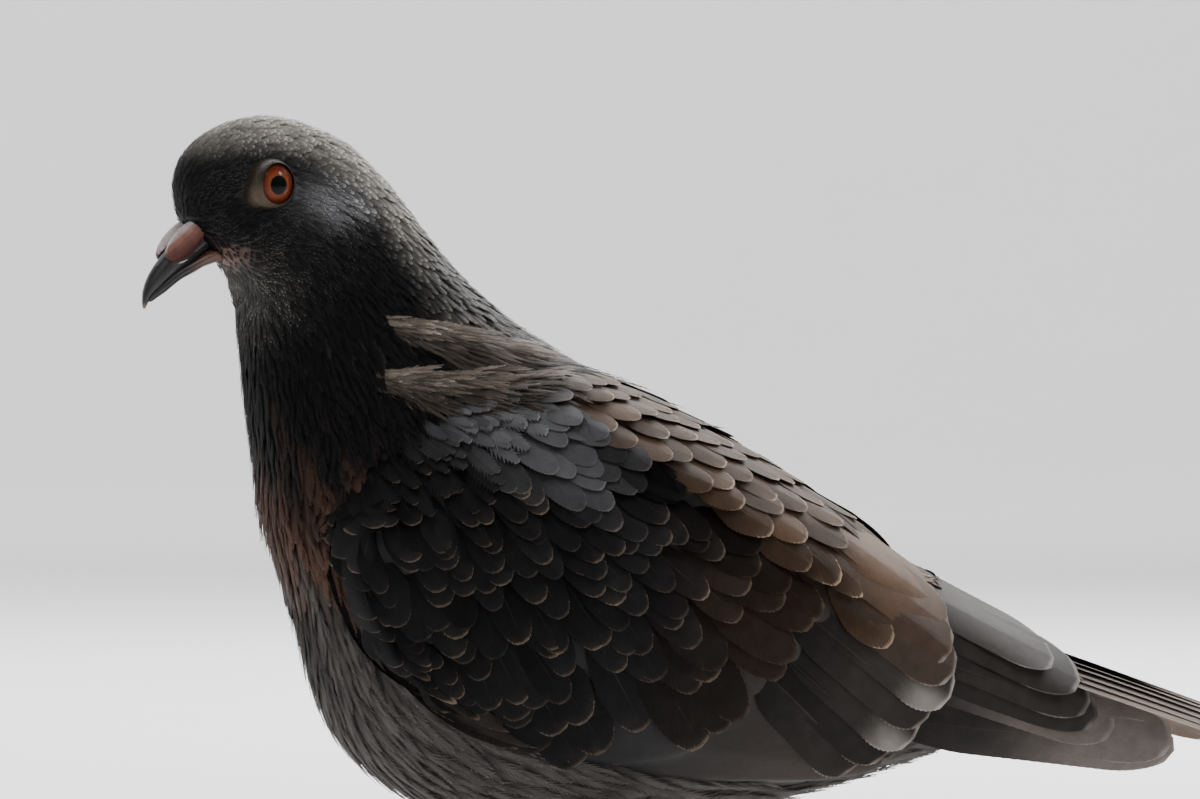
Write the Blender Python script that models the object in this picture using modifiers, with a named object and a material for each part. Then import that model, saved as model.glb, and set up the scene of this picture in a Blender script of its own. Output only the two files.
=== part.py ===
"""A young dark feral pigeon standing still, life size, as a museum shows it.

The bird faces -X, +Z is up and the floor is Z = 0. Its left side is -Y. Sizes are in millimetres.
Feathered flesh is one smooth loft from the bill to the tail, parted by thin cuts into head, neck and
trunk. The folded wings are slices of a second loft that wraps the flanks.
"""
import math

import bmesh
import bpy
from mathutils import Matrix, Vector

MM = 0.001
GAP = 0.32
WELD = 0.0001
SECTION_POWER = 2.2
RING_SIDES = 20
WING_SIDES = 20
BILL_SIDES = 10
SHARP_EDGE_DEG = 50.0
TIP_ROUNDNESS = 0.6
LEFT, RIGHT = -1, 1

HEAD_TURN_DEG = 8.0
HEAD_PIVOT_X = -34.0
NECK_FOOT = Vector((-10.0, 0.0, 115.0))
NECK_TOP = Vector((-50.0, 0.0, 170.0))
TURN_STARTS, TURN_SPAN = 0.15, 0.6

EYE_CENTRE = Vector((-54.2, 8.3, 170.0))
EYE_RADIUS = 5.6
EYE_DEPTH = 4.6

CERE_CENTRE = Vector((-69.7, 2.5, 158.8))
CERE_HALF_LENGTH = 5.4
CERE_HALF_HEIGHT = 2.8
CERE_HALF_WIDTH = 2.45
CERE_PITCH_DEG = 43.0

WING_LINING = 1.1
WING_TUCK = 1.2
PRIMARY_TUCK = 1.8
PRIMARY_THICK = 2.2
SCAPULAR_RISE = 1.3
PRIMARY_CORE_SHIFT = 0.4
WING_OUT = 62.0
SCAPULAR_INNER = 7.0
WING_INNER = 2.0

TAIL_ROOT = Vector((90.0, 0.0, 80.7))
TAIL_LENGTH = 82.0
TAIL_SLOPE = 0.31
TAIL_BEND = 0.0005
TAIL_ROOT_HALF = 9.0
TAIL_TIP_HALF = 22.0
TAIL_DROOP = 5.0
TAIL_THICK = 2.0
TAIL_FEATHERS = 12
TAIL_ROWS = 3
TAIL_SPREAD = 1.3
TAIL_SIDE_STEP = 0.06
TAIL_NOTCH = 0.02
TAIL_RIDGE = 0.3

LEG_Y = 21.0
HOCK = Vector((24.0, 0.0, 31.0))
FOOT_PAD = Vector((14.5, 0.0, 3.3))
FOOT_PAD_RADII = (3.8, 3.5, 3.6)
TOE_RADIUS = 2.3
TOE_STEPS = 3
TOE_TAPER = 0.3
TOE_SINK = 0.8
TOE_ARCH = 1.2
TOE_LENGTHS = {"middle": 30.0, "inner": 21.0, "outer": 23.0, "hind": 16.0}
TOE_SPREAD_DEG = {"inner": 32.0, "middle": -3.0, "outer": -36.0, "hind": 172.0}
CLAW_LENGTH = 6.5
CLAW_BEND = 0.9
CLAW_BASE = 0.72
CLAW_POINT = 0.12
CLAW_RISE = 0.25
CLAW_STEPS = 3
THIGH_TOP = Vector((13.5, 16.0, 43.5))
MIDDLE_X = 47.15

# (share of the way from the pad to the hock, radius) and (share from the hock to the hip, radius).
SHANK = [(0.0, 2.5), (0.2, 2.15), (0.5, 2.0), (0.82, 2.3), (0.95, 2.9), (1.02, 2.6)]
THIGH = [(-0.02, 3.4), (0.25, 5.6), (0.5, 7.6), (0.75, 8.8), (1.0, 8.4)]

# Each row: back point (x, z), belly point (x, z), half width, and how far the widest line sits
# towards the belly (as a share).
HEAD = [
    ((-69.6, 162.4), (-61.0, 154.6), 4.6, 0.00),
    ((-72.0, 168.8), (-58.8, 151.8), 8.2, 0.05),
    ((-70.3, 176.3), (-56.6, 148.6), 10.8, 0.08),
    ((-63.9, 182.0), (-55.3, 146.0), 12.2, 0.12),
    ((-54.2, 185.0), (-56.0, 141.5), 12.8, 0.14),
    ((-43.2, 183.9), (-55.9, 137.0), 13.4, 0.14),
    ((-33.0, 179.4), (-55.8, 132.0), 14.6, 0.10),
]
NECK = [
    HEAD[-1],
    ((-24.4, 171.4), (-55.2, 126.5), 17.0, 0.08),
    ((-16.4, 160.9), (-54.2, 120.0), 20.8, 0.06),
    ((-7.6, 150.8), (-53.0, 112.5), 25.8, 0.04),
    ((1.5, 143.0), (-51.8, 103.5), 31.0, 0.02),
]
TRUNK = [
    NECK[-1],
    ((12.5, 136.4), (-49.2, 94.5), 35.0, 0.00),
    ((24.5, 129.4), (-45.2, 82.5), 37.4, 0.00),
    ((37.0, 121.6), (-41.8, 69.5), 38.2, 0.02),
    ((49.0, 112.8), (-36.8, 56.0), 37.8, 0.02),
    ((61.0, 104.2), (-24.0, 43.5), 36.4, 0.00),
    ((73.0, 96.0), (0.0, 35.2), 32.5, -0.03),
    ((83.5, 89.3), (30.0, 35.0), 26.5, -0.03),
    ((92.5, 83.4), (58.0, 39.5), 20.0, 0.00),
    ((101.0, 77.6), (80.0, 45.0), 15.0, 0.00),
    ((108.0, 73.6), (97.0, 50.5), 11.0, 0.00),
    ((112.5, 70.6), (107.0, 58.5), 7.0, 0.00),
]
WING_ENVELOPE = [
    ((-38.5, 115.0), (-47.5, 97.0), 20.0, 0.00),
    ((-28.5, 127.5), (-48.0, 84.5), 31.5, 0.00),
    ((-10.5, 134.5), (-43.0, 70.0), 41.5, 0.00),
    ((8.0, 136.8), (-31.0, 56.0), 46.5, 0.00),
    ((28.0, 128.2), (-9.0, 46.0), 47.5, 0.00),
    ((50.0, 116.8), (16.0, 40.5), 45.5, 0.00),
    ((70.0, 104.2), (41.0, 37.5), 41.0, 0.00),
    ((90.0, 93.2), (66.0, 37.0), 34.5, 0.00),
    ((110.0, 82.4), (92.0, 38.5), 27.0, 0.00),
    ((130.0, 71.8), (118.0, 41.5), 20.5, 0.00),
    ((153.0, 60.6), (146.0, 46.0), 12.5, 0.00),
]

BILL_UPPER = [
    ((-68.6, 161.0), (-62.2, 158.9), 3.9, 0.20),
    ((-72.0, 158.0), (-66.5, 155.7), 3.6, 0.20),
    ((-74.6, 155.1), (-70.3, 152.6), 2.6, 0.15),
    ((-77.1, 151.6), (-73.9, 149.6), 1.9, 0.10),
    ((-78.4, 148.1), (-76.9, 147.1), 1.15, 0.00),
    ((-78.5, 144.7), (-78.1, 144.6), 0.35, 0.00),
]
BILL_LOWER = [
    ((-61.8, 158.2), (-61.2, 154.8), 4.1, 0.00),
    ((-66.4, 155.8), (-66.0, 153.1), 3.4, 0.00),
    ((-70.4, 152.8), (-70.1, 150.3), 2.5, 0.00),
    ((-73.8, 149.8), (-73.3, 147.6), 1.7, 0.00),
    ((-77.1, 147.0), (-76.7, 145.3), 0.8, 0.00),
]

# Outlines of the folded wing, seen from the side. A row of feather tips is given as its start, its
# end, how many tips it has and how far they stand out.
COVERTS = [
    (-8.0, 132.0), (-14.7, 126.7), (-26.5, 115.2), (-36.0, 107.5), (-39.6, 101.0), (-40.2, 94.0),
    (-39.2, 86.0), (-35.8, 78.0), (-29.5, 70.2), (-19.0, 61.0), (-4.0, 52.5), (10.0, 48.8),
]
COVERT_TIPS = ((26.0, 50.5), (61.5, 84.0), 5, 2.2)
FOLD = [(46.7, 97.3), (33.6, 104.6), (20.5, 112.5), (6.3, 121.2), (-5.0, 127.5)]
SCAPULARS = [(-5.0, 127.5), (6.3, 121.2), (20.5, 112.5), (33.6, 104.6), (46.7, 97.3)]
SCAPULAR_TIPS = ((60.0, 87.5), (78.0, 103.0), 3, 3.0)
SCAPULAR_TOP = [(66.0, 113.0), (48.0, 124.0), (24.0, 136.0), (8.0, 142.0), (-6.0, 136.0)]
SECONDARIES = [(6.0, 60.0), (12.0, 49.0), (31.0, 45.4), (62.0, 44.6)]
SECONDARY_TIPS = ((73.0, 46.0), (92.0, 83.0), 5, 2.6)
SECONDARY_TOP = [(97.0, 92.0), (84.0, 104.0), (60.0, 112.0), (30.0, 100.0), (14.0, 80.0)]
PRIMARIES = [(44.0, 58.0), (52.0, 45.0), (90.0, 42.4), (130.0, 43.6)]
PRIMARY_TIPS = ((147.0, 47.5), (121.0, 69.0), 4, 3.5)
PRIMARY_TOP = [(119.0, 80.0), (98.0, 94.0), (78.0, 92.0), (60.0, 74.0)]

FEATHER_COLOUR = (0.035, 0.033, 0.036)
MATERIALS = {
    "head_feathers": ((0.060, 0.058, 0.060), 0.75),
    "neck_feathers": ((0.022, 0.021, 0.024), 0.60),
    "body_feathers": ((0.070, 0.055, 0.048), 0.75),
    "wing_feathers": (FEATHER_COLOUR, 0.55),
    "flight_feathers": ((0.055, 0.050, 0.048), 0.50),
    "bill_horn": ((0.030, 0.030, 0.034), 0.30),
    "cere_skin": ((0.560, 0.400, 0.380), 0.55),
    "eye": ((0.420, 0.110, 0.025), 0.05),
    "leg_scales": ((0.330, 0.080, 0.070), 0.50),
    "claw_horn": ((0.030, 0.026, 0.026), 0.35),
}


def clear_scene():
    for found in list(bpy.data.objects):
        bpy.data.objects.remove(found)


def collection(name):
    made = bpy.data.collections.new(name)
    bpy.context.scene.collection.children.link(made)
    return made


def material(name):
    made = bpy.data.materials.new(name)
    made.use_nodes = True
    colour, roughness = MATERIALS[name]
    shader = made.node_tree.nodes["Principled BSDF"]
    shader.inputs["Base Color"].default_value = (*colour, 1.0)
    shader.inputs["Roughness"].default_value = roughness
    return made


def new_object(name, mesh, where, finish=None):
    """Links a mesh, given in millimetres, as an object in metres."""
    mesh.transform(Matrix.Scale(MM, 4))
    made = bpy.data.objects.new(name, mesh)
    where.objects.link(made)
    if finish:
        mesh.materials.append(finish)
        mesh.shade_smooth()
        mesh.set_sharp_from_angle(angle=math.radians(SHARP_EDGE_DEG))
    else:
        made.hide_render = True
        made.display_type = "WIRE"
    return made


def smooth_row(rows, at):
    """Reads a table of stations at a fractional row, on a Catmull-Rom curve."""
    low = min(int(at), len(rows) - 2)
    share = at - low
    four = [rows[max(0, min(len(rows) - 1, low + step))] for step in (-1, 0, 1, 2)]

    def blended(a, b, c, d):
        return 0.5 * (
            2 * b + (c - a) * share + (2 * a - 5 * b + 4 * c - d) * share ** 2
            + (3 * b - a - 3 * c + d) * share ** 3
        )

    flat = [(*row[0], *row[1], row[2], row[3]) for row in four]
    return [blended(*column) for column in zip(*flat)]


def rounded(share):
    """Bends a circle's coordinate so that a section is a little fuller than an ellipse."""
    return math.copysign(abs(share) ** (2 / SECTION_POWER), share)


def ring(values, grow=0.0, shift=0.0, sides=RING_SIDES):
    """One section: an oval between the back point and the belly point."""
    back_x, back_z, belly_x, belly_z, half_width, low_width = values
    back, belly = Vector((back_x, 0, back_z)), Vector((belly_x, 0, belly_z))
    centre, up = (back + belly) / 2, (back - belly) / 2
    up += up.normalized() * grow
    tailwards = Vector((0, 1, 0)).cross(up).normalized() * shift
    half_width += grow
    points = []
    for side in range(sides):
        turn = 2 * math.pi * side / sides
        rise, reach = rounded(math.cos(turn)), rounded(math.sin(turn))
        wide = half_width * (1 - low_width * rise)
        points.append(centre + tailwards + up * rise + Vector((0, wide * reach, 0)))
    return points


def loft(rings):
    """A closed mesh through rings of equally many points, with a cap at each end."""
    shell = bmesh.new()
    rows = [[shell.verts.new(point) for point in points] for points in rings]
    for ahead, behind in zip(rows, rows[1:]):
        for side in range(len(ahead)):
            after = (side + 1) % len(ahead)
            shell.faces.new((ahead[side], ahead[after], behind[after], behind[side]))
    shell.faces.new(rows[0][::-1])
    shell.faces.new(rows[-1])
    bmesh.ops.recalc_face_normals(shell, faces=shell.faces)
    bmesh.ops.triangulate(shell, faces=shell.faces)
    mesh = bpy.data.meshes.new("loft")
    shell.to_mesh(mesh)
    shell.free()
    return mesh


def station_loft(rows, per_span=2, grow=0.0, start_gap=0.0, sides=RING_SIDES):
    """A loft through a table of stations. start_gap draws the first section back from its neighbour."""
    spans = (len(rows) - 1) * per_span
    rings = []
    for step in range(spans + 1):
        shift = start_gap if step == 0 else 0.0
        rings.append(ring(smooth_row(rows, step / per_span), grow, shift, sides))
    return loft(rings)


def smooth_outline(points, per_span=2):
    """A smooth open curve through flat points."""
    rows = [(point, (0.0, 0.0), 0.0, 0.0) for point in points]
    steps = (len(points) - 1) * per_span
    return [tuple(smooth_row(rows, step / per_span)[:2]) for step in range(steps + 1)]


def tips(start, end, count, depth, per_tip=3):
    """Round feather ends along a trailing edge, standing out by depth to its right-hand side."""
    first, last = Vector(start), Vector(end)
    along = (last - first) / count
    out = Vector((along.y, -along.x)).normalized() * depth
    points = []
    for tip in range(count):
        for step in range(per_tip):
            share = step / per_tip
            round_end = out * math.sin(math.pi * share) ** TIP_ROUNDNESS
            points.append(tuple(first + along * (tip + share) + round_end))
    points.append(tuple(last))
    return points


def grown(outline, by):
    """The outline pushed outwards by a small even distance."""
    points = [Vector(point) for point in outline]
    area = sum(a.cross(b) for a, b in zip(points, points[1:] + points[:1]))
    turn = 1 if area > 0 else -1
    moved = []
    for before, here, after in zip(points[-1:] + points[:-1], points, points[1:] + points[:1]):
        edge = (after - before).normalized()
        moved.append(tuple(here + Vector((edge.y, -edge.x)) * by * turn))
    return moved


def meshed(curve):
    """The closed mesh of a curve, with its loose caps welded on."""
    drawn = bpy.data.objects.new("drawn", curve)
    bpy.context.scene.collection.objects.link(drawn)
    bpy.context.view_layer.update()
    graph = bpy.context.evaluated_depsgraph_get()
    mesh = bpy.data.meshes.new_from_object(drawn.evaluated_get(graph))
    bpy.data.objects.remove(drawn)
    shape = bmesh.new()
    shape.from_mesh(mesh)
    bmesh.ops.remove_doubles(shape, verts=shape.verts, dist=WELD)
    bmesh.ops.recalc_face_normals(shape, faces=shape.faces)
    bmesh.ops.triangulate(shape, faces=shape.faces)
    shape.to_mesh(mesh)
    shape.free()
    return mesh


def prism(outline, low_y, high_y):
    """A closed slab: a side outline drawn out along Y."""
    curve = bpy.data.curves.new("outline", "CURVE")
    curve.dimensions = "2D"
    curve.fill_mode = "BOTH"
    curve.extrude = (high_y - low_y) / 2
    spline = curve.splines.new("POLY")
    spline.points.add(len(outline) - 1)
    spline.use_cyclic_u = True
    for point, (x, z) in zip(spline.points, outline):
        point.co = (x, z, 0, 1)
    mesh = meshed(curve)
    upright = Matrix.Rotation(math.radians(90), 4, "X")
    mesh.transform(Matrix.Translation((0, (low_y + high_y) / 2, 0)) @ upright)
    return mesh


def limb(course, smoothness):
    """A round limb through (point, radius) pairs."""
    curve = bpy.data.curves.new("limb", "CURVE")
    curve.dimensions = "3D"
    curve.bevel_depth = 1.0
    curve.bevel_resolution = smoothness
    curve.use_fill_caps = True
    spline = curve.splines.new("POLY")
    spline.points.add(len(course) - 1)
    for point, (place, radius) in zip(spline.points, course):
        point.co = (*place, 1)
        point.radius = radius
    return meshed(curve)


def combine(target, operation, other):
    """Applies a Boolean with another object to the target's mesh."""
    modifier = target.modifiers.new(operation.title(), "BOOLEAN")
    modifier.operation = operation
    modifier.object = other
    bpy.context.view_layer.update()
    graph = bpy.context.evaluated_depsgraph_get()
    made = bpy.data.meshes.new_from_object(target.evaluated_get(graph))
    target.modifiers.remove(modifier)
    target.data = made


def inflated(source, cutters, by=GAP):
    """A slightly larger copy, to cut a neighbour with a thin gap."""
    mesh = source.data.copy()
    made = bpy.data.objects.new("clear_of_" + source.name, mesh)
    cutters.objects.link(made)
    made.hide_render = True
    made.display_type = "WIRE"
    normals = [vertex.normal.copy() for vertex in mesh.vertices]
    for vertex, normal in zip(mesh.vertices, normals):
        vertex.co += normal * by * MM
    return made


def turned(mesh):
    """Turns the head to the left over the length of the neck. The mesh is in metres."""
    axis = NECK_TOP - NECK_FOOT
    for vertex in mesh.vertices:
        point = vertex.co / MM
        up_neck = (point - NECK_FOOT).dot(axis) / axis.length_squared
        share = max(0.0, min(1.0, (up_neck - TURN_STARTS) / TURN_SPAN))
        angle = math.radians(HEAD_TURN_DEG) * share * share * (3 - 2 * share)
        pivot = Vector((HEAD_PIVOT_X, 0, 0))
        vertex.co = (Matrix.Rotation(angle, 3, "Z") @ (point - pivot) + pivot) * MM


def mirror(source, name, where):
    """Adds a copy on the other side of the bird."""
    mesh = source.data.copy()
    mesh.transform(Matrix.Diagonal((1, -1, 1, 1)))
    mesh.flip_normals()
    where.objects.link(bpy.data.objects.new(name, mesh))


def ellipsoid(name, centre, radii, pitch_deg, where, finish, segments=14, rings=8):
    """A sphere stretched to three radii and tilted about Y."""
    ball = bmesh.new()
    bmesh.ops.create_uvsphere(ball, u_segments=segments, v_segments=rings, radius=1.0)
    stretch = Matrix.Diagonal((*radii, 1))
    tilt = Matrix.Rotation(math.radians(pitch_deg), 4, "Y")
    bmesh.ops.transform(ball, matrix=Matrix.Translation(centre) @ tilt @ stretch, verts=ball.verts)
    bmesh.ops.triangulate(ball, faces=ball.faces)
    mesh = bpy.data.meshes.new(name)
    ball.to_mesh(mesh)
    ball.free()
    return new_object(name, mesh, where, finish)


def make_flesh(parts, finishes):
    """Head, neck and trunk, on one continuous surface."""
    head = new_object("head", station_loft(HEAD, 2), parts, finishes["head_feathers"])
    neck = new_object("neck", station_loft(NECK, 2, start_gap=GAP), parts, finishes["neck_feathers"])
    trunk = new_object("trunk", station_loft(TRUNK, 2, start_gap=GAP), parts, finishes["body_feathers"])
    return head, neck, trunk


def make_eyes(parts, cutters, head, finish):
    """Lens-shaped eyeballs in sockets cut into the head."""
    eyes = []
    for side, label in ((LEFT, "left"), (RIGHT, "right")):
        centre = Vector((EYE_CENTRE.x, side * EYE_CENTRE.y, EYE_CENTRE.z))
        radii = (EYE_RADIUS, EYE_DEPTH, EYE_RADIUS)
        eye = ellipsoid("eye_" + label, centre, radii, 0, parts, finish)
        combine(head, "DIFFERENCE", inflated(eye, cutters))
        eyes.append(eye)
    return eyes


def make_bill(parts, cutters, head, finishes):
    """Upper and lower bill, with the two swollen cere lobes over the nostrils."""
    horn = finishes["bill_horn"]
    upper = new_object("bill_upper", station_loft(BILL_UPPER, 2, sides=BILL_SIDES), parts, horn)
    lower = new_object("bill_lower", station_loft(BILL_LOWER, 1, sides=BILL_SIDES), parts, horn)
    clear_head = inflated(head, cutters)
    combine(upper, "DIFFERENCE", clear_head)
    combine(lower, "DIFFERENCE", clear_head)
    clear_upper = inflated(upper, cutters)
    combine(lower, "DIFFERENCE", clear_upper)
    ceres = []
    for side, label in ((LEFT, "left"), (RIGHT, "right")):
        centre = Vector((CERE_CENTRE.x, side * CERE_CENTRE.y, CERE_CENTRE.z))
        radii = (CERE_HALF_LENGTH, CERE_HALF_WIDTH, CERE_HALF_HEIGHT)
        name, skin = "cere_" + label, finishes["cere_skin"]
        lobe = ellipsoid(name, centre, radii, -CERE_PITCH_DEG, parts, skin, 10, 8)
        combine(lobe, "DIFFERENCE", clear_head)
        combine(lobe, "DIFFERENCE", clear_upper)
        ceres.append(lobe)
    return [upper, lower, *ceres]


def wing_slice(name, outline, offset, inner_y, parts, cutters, finish, thick):
    """The part of the wing envelope inside a side outline, on the left side."""
    shell = station_loft(WING_ENVELOPE, 1, offset, sides=WING_SIDES)
    block = new_object(name, shell, parts, finish)
    slab = new_object("outline_" + name, prism(outline, -WING_OUT, -inner_y), cutters)
    combine(block, "INTERSECT", slab)
    if thick:
        hollow = station_loft(WING_ENVELOPE, 1, offset - thick, sides=WING_SIDES)
        hollow.transform(Matrix.Translation((PRIMARY_CORE_SHIFT, 0, 0)))
        combine(block, "DIFFERENCE", new_object("core_" + name, hollow, cutters))
    return block


def make_wings(parts, cutters, tail, finishes):
    """Scapulars, coverts, secondaries and primaries of each folded wing."""
    hollow = station_loft(NECK[2:] + TRUNK[1:], 1, WING_LINING)
    clear = [new_object("wing_hollow", hollow, cutters), inflated(tail, cutters)]
    coverts = smooth_outline(COVERTS) + tips(*COVERT_TIPS) + FOLD
    scapulars = SCAPULARS + tips(*SCAPULAR_TIPS) + SCAPULAR_TOP
    secondaries = SECONDARIES + tips(*SECONDARY_TIPS) + SECONDARY_TOP
    primaries = PRIMARIES + tips(*PRIMARY_TIPS) + PRIMARY_TOP
    plans = [
        ("scapulars", scapulars, SCAPULAR_RISE, SCAPULAR_INNER, "wing_feathers", None),
        ("coverts", coverts, 0.0, WING_INNER, "wing_feathers", None),
        ("secondaries", secondaries, -WING_TUCK, WING_INNER, "flight_feathers", None),
        ("primaries", primaries, -PRIMARY_TUCK, WING_INNER, "flight_feathers", PRIMARY_THICK),
    ]
    for label, outline, offset, inner_y, finish, thick in plans:
        name = "wing_left_" + label
        piece = wing_slice(name, outline, offset, inner_y, parts, cutters, finishes[finish], thick)
        for cutter in clear:
            combine(piece, "DIFFERENCE", cutter)
        largest_body(piece)
        slab = prism(grown(outline, GAP), -WING_OUT - GAP, -inner_y + GAP)
        clear.append(new_object("clear_outline_" + label, slab, cutters))
        mirror(piece, "wing_right_" + label, parts)


def largest_body(target):
    """Drops the crumbs a cut can leave, keeping the biggest connected piece."""
    shape = bmesh.new()
    shape.from_mesh(target.data)
    left = set(shape.verts)
    bodies = []
    while left:
        body, edge = set(), [left.pop()]
        while edge:
            here = edge.pop()
            body.add(here)
            for link in here.link_edges:
                other = link.other_vert(here)
                if other in left:
                    left.discard(other)
                    edge.append(other)
        bodies.append(body)
    keep = max(bodies, key=len)
    crumbs = [vertex for vertex in shape.verts if vertex not in keep]
    bmesh.ops.delete(shape, geom=crumbs, context="VERTS")
    shape.to_mesh(target.data)
    shape.free()


def make_tail(parts, cutters, trunk, finish):
    """Twelve closed tail feathers as one arched fan with a stepped end."""
    fan = bmesh.new()
    columns = 2 * TAIL_FEATHERS
    grid = []
    for row in range(TAIL_ROWS + 1):
        line = []
        for column in range(columns + 1):
            across = 2 * column / columns - 1
            bump = abs(math.sin(math.pi * TAIL_FEATHERS * (across + 1) / 2))
            share = row / TAIL_ROWS * (1 - TAIL_SIDE_STEP * across ** 4 + TAIL_NOTCH * (bump - 1))
            reach = TAIL_LENGTH * share
            half = TAIL_ROOT_HALF + (TAIL_TIP_HALF - TAIL_ROOT_HALF) * share ** TAIL_SPREAD
            fall = TAIL_SLOPE * reach + TAIL_BEND * reach ** 2 + TAIL_DROOP * across ** 2
            place = Vector((reach, half * across, TAIL_RIDGE * bump - fall))
            line.append(fan.verts.new(TAIL_ROOT + place))
        grid.append(line)
    for ahead, behind in zip(grid, grid[1:]):
        for left in range(columns):
            fan.faces.new((ahead[left], ahead[left + 1], behind[left + 1], behind[left]))
    bmesh.ops.recalc_face_normals(fan, faces=fan.faces)
    mesh = bpy.data.meshes.new("tail")
    fan.to_mesh(mesh)
    fan.free()
    tail = new_object("tail", mesh, parts, finish)
    shell = tail.modifiers.new("Thickness", "SOLIDIFY")
    shell.thickness = TAIL_THICK * MM
    shell.offset = 0
    bpy.context.view_layer.update()
    graph = bpy.context.evaluated_depsgraph_get()
    solid = bpy.data.meshes.new_from_object(tail.evaluated_get(graph))
    tail.modifiers.remove(shell)
    tail.data = solid
    combine(tail, "DIFFERENCE", inflated(trunk, cutters))
    largest_body(tail)
    return tail


def toe_course(side, label):
    """The way a toe points, and its centre points from under the foot's pad to its tip."""
    turn = math.radians(180 + side * TOE_SPREAD_DEG[label])
    ahead = Vector((math.cos(turn), math.sin(turn), 0))
    start = Vector((FOOT_PAD.x, side * LEG_Y, 0))
    course = []
    for step in range(TOE_STEPS + 1):
        share = step / TOE_STEPS
        radius = TOE_RADIUS * (1 - TOE_TAPER * share)
        height = TOE_SINK * radius + TOE_ARCH * (1 - share) ** 3
        course.append((start + ahead * TOE_LENGTHS[label] * share + Vector((0, 0, height)), radius))
    return ahead, course


def claw_course(toe_tip, toe_radius, ahead):
    """Centre points of a claw: it leaves the toe level, rises a little and comes down to a point."""
    start = toe_tip + ahead * GAP + Vector((0, 0, CLAW_RISE))
    course = []
    for step in range(CLAW_STEPS + 1):
        share = step / CLAW_STEPS
        lift = CLAW_BEND * (math.sin(math.pi * share) - share ** 2)
        radius = toe_radius * CLAW_BASE * (1 - share) ** 0.7 + CLAW_POINT
        course.append((start + ahead * CLAW_LENGTH * share + Vector((0, 0, lift)), radius))
    return course


def make_foot(side, label, parts, cutters, finishes):
    """A pad, four toes and their claws, standing on small flats."""
    pad_at = Vector((FOOT_PAD.x, side * LEG_Y, FOOT_PAD.z))
    pad = ellipsoid("foot_" + label, pad_at, FOOT_PAD_RADII, 0, parts, finishes["leg_scales"], 10, 6)
    flatten_sole(pad)
    pad_room = inflated(pad, cutters)
    rooms = [pad_room]
    for toe_name in TOE_LENGTHS:
        ahead, course = toe_course(side, toe_name)
        toe = new_object(f"toe_{label}_{toe_name}", limb(course, 1), parts, finishes["leg_scales"])
        for room in rooms:
            combine(toe, "DIFFERENCE", room)
        flatten_sole(toe)
        largest_body(toe)
        rooms.append(inflated(toe, cutters))
        claw = limb(claw_course(*course[-1], ahead), 1)
        new_object(f"claw_{label}_{toe_name}", claw, parts, finishes["claw_horn"])
    return pad_at, pad_room


def make_leg(side, label, parts, cutters, trunk, finishes):
    """Feathered thigh, scaly shank and foot."""
    pad_at, pad_room = make_foot(side, label, parts, cutters, finishes)
    hock = Vector((HOCK.x, side * LEG_Y, HOCK.z))
    shank_course = [(pad_at.lerp(hock, share), radius) for share, radius in SHANK]
    shank = new_object("shank_" + label, limb(shank_course, 2), parts, finishes["leg_scales"])
    combine(shank, "DIFFERENCE", pad_room)
    thigh_top = Vector((THIGH_TOP.x, side * THIGH_TOP.y, THIGH_TOP.z))
    thigh_course = [(hock.lerp(thigh_top, share), radius) for share, radius in THIGH]
    thigh = new_object("thigh_" + label, limb(thigh_course, 4), parts, finishes["body_feathers"])
    combine(thigh, "DIFFERENCE", inflated(trunk, cutters))
    combine(thigh, "DIFFERENCE", inflated(shank, cutters))
    largest_body(thigh)


def flatten_sole(piece):
    """Cuts a piece of the foot off level with the floor, so that it stands on a small flat."""
    sole = bmesh.new()
    sole.from_mesh(piece.data)
    everything = sole.verts[:] + sole.edges[:] + sole.faces[:]
    floor, down = (0, 0, 0), (0, 0, -1)
    bmesh.ops.bisect_plane(sole, geom=everything, plane_co=floor, plane_no=down, clear_outer=True)
    edges = [edge for edge in sole.edges if edge.is_boundary]
    bmesh.ops.holes_fill(sole, edges=edges, sides=0)
    bmesh.ops.recalc_face_normals(sole, faces=sole.faces)
    bmesh.ops.triangulate(sole, faces=sole.faces)
    sole.to_mesh(piece.data)
    sole.free()


def stand_on_origin(parts):
    """Hangs every piece on one empty that brings the middle of the bird over the origin."""
    stand = bpy.data.objects.new("stand", None)
    bpy.context.scene.collection.objects.link(stand)
    stand.location = (-MIDDLE_X * MM, 0, 0)
    for piece in parts.objects:
        piece.parent = stand


def main():
    clear_scene()
    parts, cutters = collection("pigeon"), collection("cutters")
    finishes = {name: material(name) for name in MATERIALS}
    head, neck, trunk = make_flesh(parts, finishes)
    tail = make_tail(parts, cutters, trunk, finishes["flight_feathers"])
    make_wings(parts, cutters, tail, finishes)
    eyes = make_eyes(parts, cutters, head, finishes["eye"])
    bill = make_bill(parts, cutters, head, finishes)
    for piece in (head, neck, trunk, *eyes, *bill):
        turned(piece.data)
    for side, label in ((LEFT, "left"), (RIGHT, "right")):
        make_leg(side, label, parts, cutters, trunk, finishes)
    stand_on_origin(parts)


main()
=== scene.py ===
"""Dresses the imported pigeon: its skin, feathers, eyes, bill and legs, and the studio it stands in.

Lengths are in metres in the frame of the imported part: the bird faces -X, its left side is -Y and +Z
is up. Places on the bird are given with at(), in millimetres of its side view.
"""
import math

import bpy
import numpy as np
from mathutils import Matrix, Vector
from mathutils.bvhtree import BVHTree


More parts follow.
